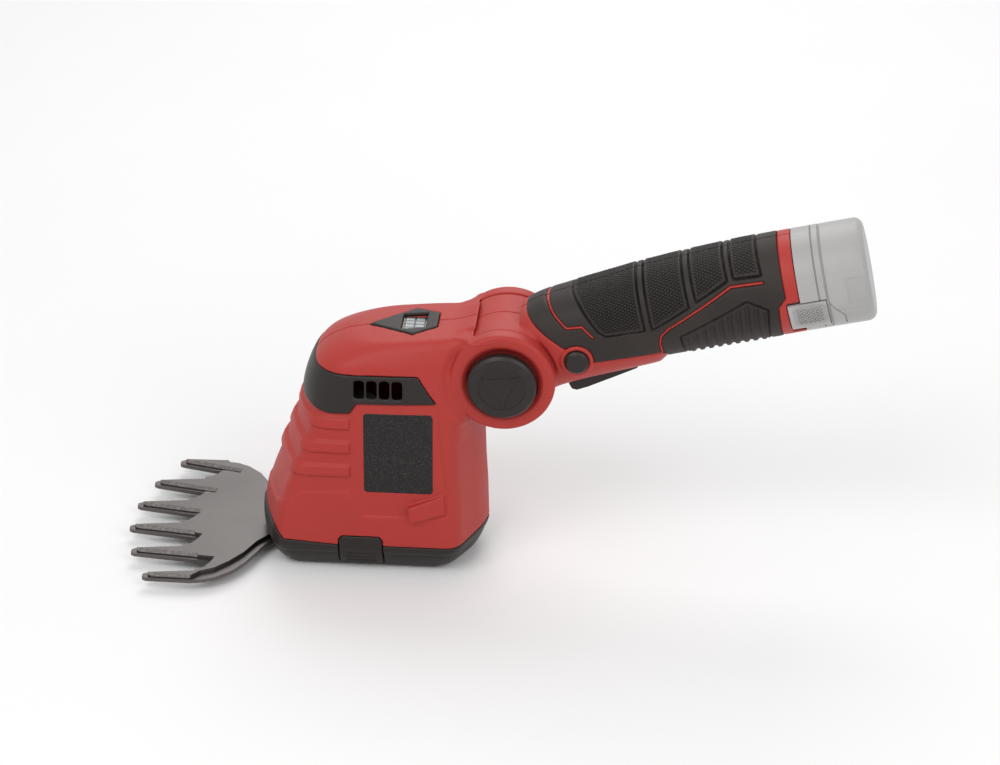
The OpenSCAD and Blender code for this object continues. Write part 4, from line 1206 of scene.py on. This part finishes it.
cell_sleeve = moulded_plastic("cell_sleeve", SLEEVE, 0.3, 0.05)
board = moulded_plastic("circuit_board", BOARD, 0.35, 0.1)
label_finish = speckled_label("speckled_label")
display_finish = level_display("charge_display_face")
print("materials:", len(bpy.data.materials))

# %% [markdown]
# ## Giving each piece its finish
# New mouldings get theirs by what they are. The solids that stay on show follow the material slot
# that the record gives them, apart from a few with a finish of their own.

# %% Giving each piece its finish
SLOT_FINISH = {
    "red_plastic": red_plastic, "black_plastic": black_plastic, "soft_grip": rubber,
    "grey_plastic": grey_plastic, "blade_steel": blade_steel, "steel": plain_steel,
    "plate_metal": cast_metal, "cell": cell_sleeve, "brass": brass, "board": board,
}


def finish(piece, material):
    piece.data.materials.clear()
    piece.data.materials.append(material)


for piece in head_pieces + handle_pieces:
    finish(piece, red_plastic)
for piece in trim_pieces + base_pieces:
    finish(piece, black_plastic)
for piece in grip_pieces:
    finish(piece, rubber)
finish(label_piece, label_finish)
for piece in screw_pieces:
    finish(piece, plain_steel)
NODE_FINISH = {
    "pivot_button_left": button_plastic, "pivot_button_right": button_plastic,
    "battery_tab_left": tab_plastic, "battery_tab_right": tab_plastic, "charge_display": display_finish,
}
for part in frame["record"]["subparts"]:
    node = nodes[part["node"]]
    for slot in node.material_slots:
        slot.material = NODE_FINISH.get(part["node"], SLOT_FINISH[part["material_slot"]])

# %% [markdown]
# ## Floor, light and camera
# A pale floor fades into a white background, which only the camera and reflections see as pure
# white. Three large soft lamps give a plain, even studio light. The camera stands where the
# photograph's camera stood: low, a little behind the middle and 1.4 m away.

# %% Floor, light and camera
LAMP_SIZE = 0.9
LAMP_AIM = Vector((0.05, 0, 0.06))
SKY_LIGHT = 0.55
SKY_SEEN = 1.0


def white_floor():
    material, tree, shader = new_material("studio_floor")
    grain = noise(tree, 8, 2)
    link(tree, tint(tree, (0.86, 0.86, 0.86), 0.01, grain), shader.inputs["Base Color"])
    shader.inputs["Roughness"].default_value = 0.9
    bpy.ops.mesh.primitive_plane_add(size=6, location=(0, 0, -0.0002))
    floor = bpy.context.object
    floor.name = "studio_floor"
    finish(floor, material)


def soft_lamp(name, place, power):
    """A large square lamp that points at the tool."""
    data = bpy.data.lights.new(name, "AREA")
    data.size = LAMP_SIZE
    data.energy = power
    lamp = bpy.data.objects.new(name, data)
    lamp.location = place
    lamp.rotation_euler = (LAMP_AIM - Vector(place)).to_track_quat("-Z", "Y").to_euler()
    bpy.context.scene.collection.objects.link(lamp)


white_floor()
soft_lamp("key_lamp", (-0.5, -0.9, 1.3), 9)
soft_lamp("fill_lamp", (0.9, -0.9, 0.9), 6)
soft_lamp("back_lamp", (0.1, 0.9, 1.1), 7)

world = bpy.data.worlds.new("studio")
bpy.context.scene.world = world
world.use_nodes = True
sky = world.node_tree.nodes["Background"]
sky.inputs["Color"].default_value = (1, 1, 1, 1)
rays = world.node_tree.nodes.new("ShaderNodeLightPath")
seen = math_node(world.node_tree, "MAXIMUM", rays.outputs["Is Camera Ray"], rays.outputs["Is Glossy Ray"])
seen = math_node(world.node_tree, "MAXIMUM", seen, rays.outputs["Is Transmission Ray"])
level = spread(world.node_tree, seen, SKY_LIGHT, SKY_SEEN, 0, 1)
link(world.node_tree, level, sky.inputs["Strength"])

camera_data = bpy.data.cameras.new("photo_camera")
camera_data.lens = 107.2
camera_data.sensor_width = 36
camera = bpy.data.objects.new("photo_camera", camera_data)
bpy.context.scene.collection.objects.link(camera)
bpy.context.scene.camera = camera
right = Vector((0.99692, 0.07846, 0))
back = Vector((0.06895, -0.87611, 0.47716))
camera.matrix_world = Matrix((right, back.cross(right), back)).transposed().to_4x4()
camera.location = (0.151, -1.1875, 0.7318)
print("camera lens:", round(camera_data.lens, 1), "mm")

# %% [markdown]
# ## Hand over
# The scene is shown with the Standard view.

# %% Hand over
bpy.context.scene.view_settings.view_transform = "Standard"
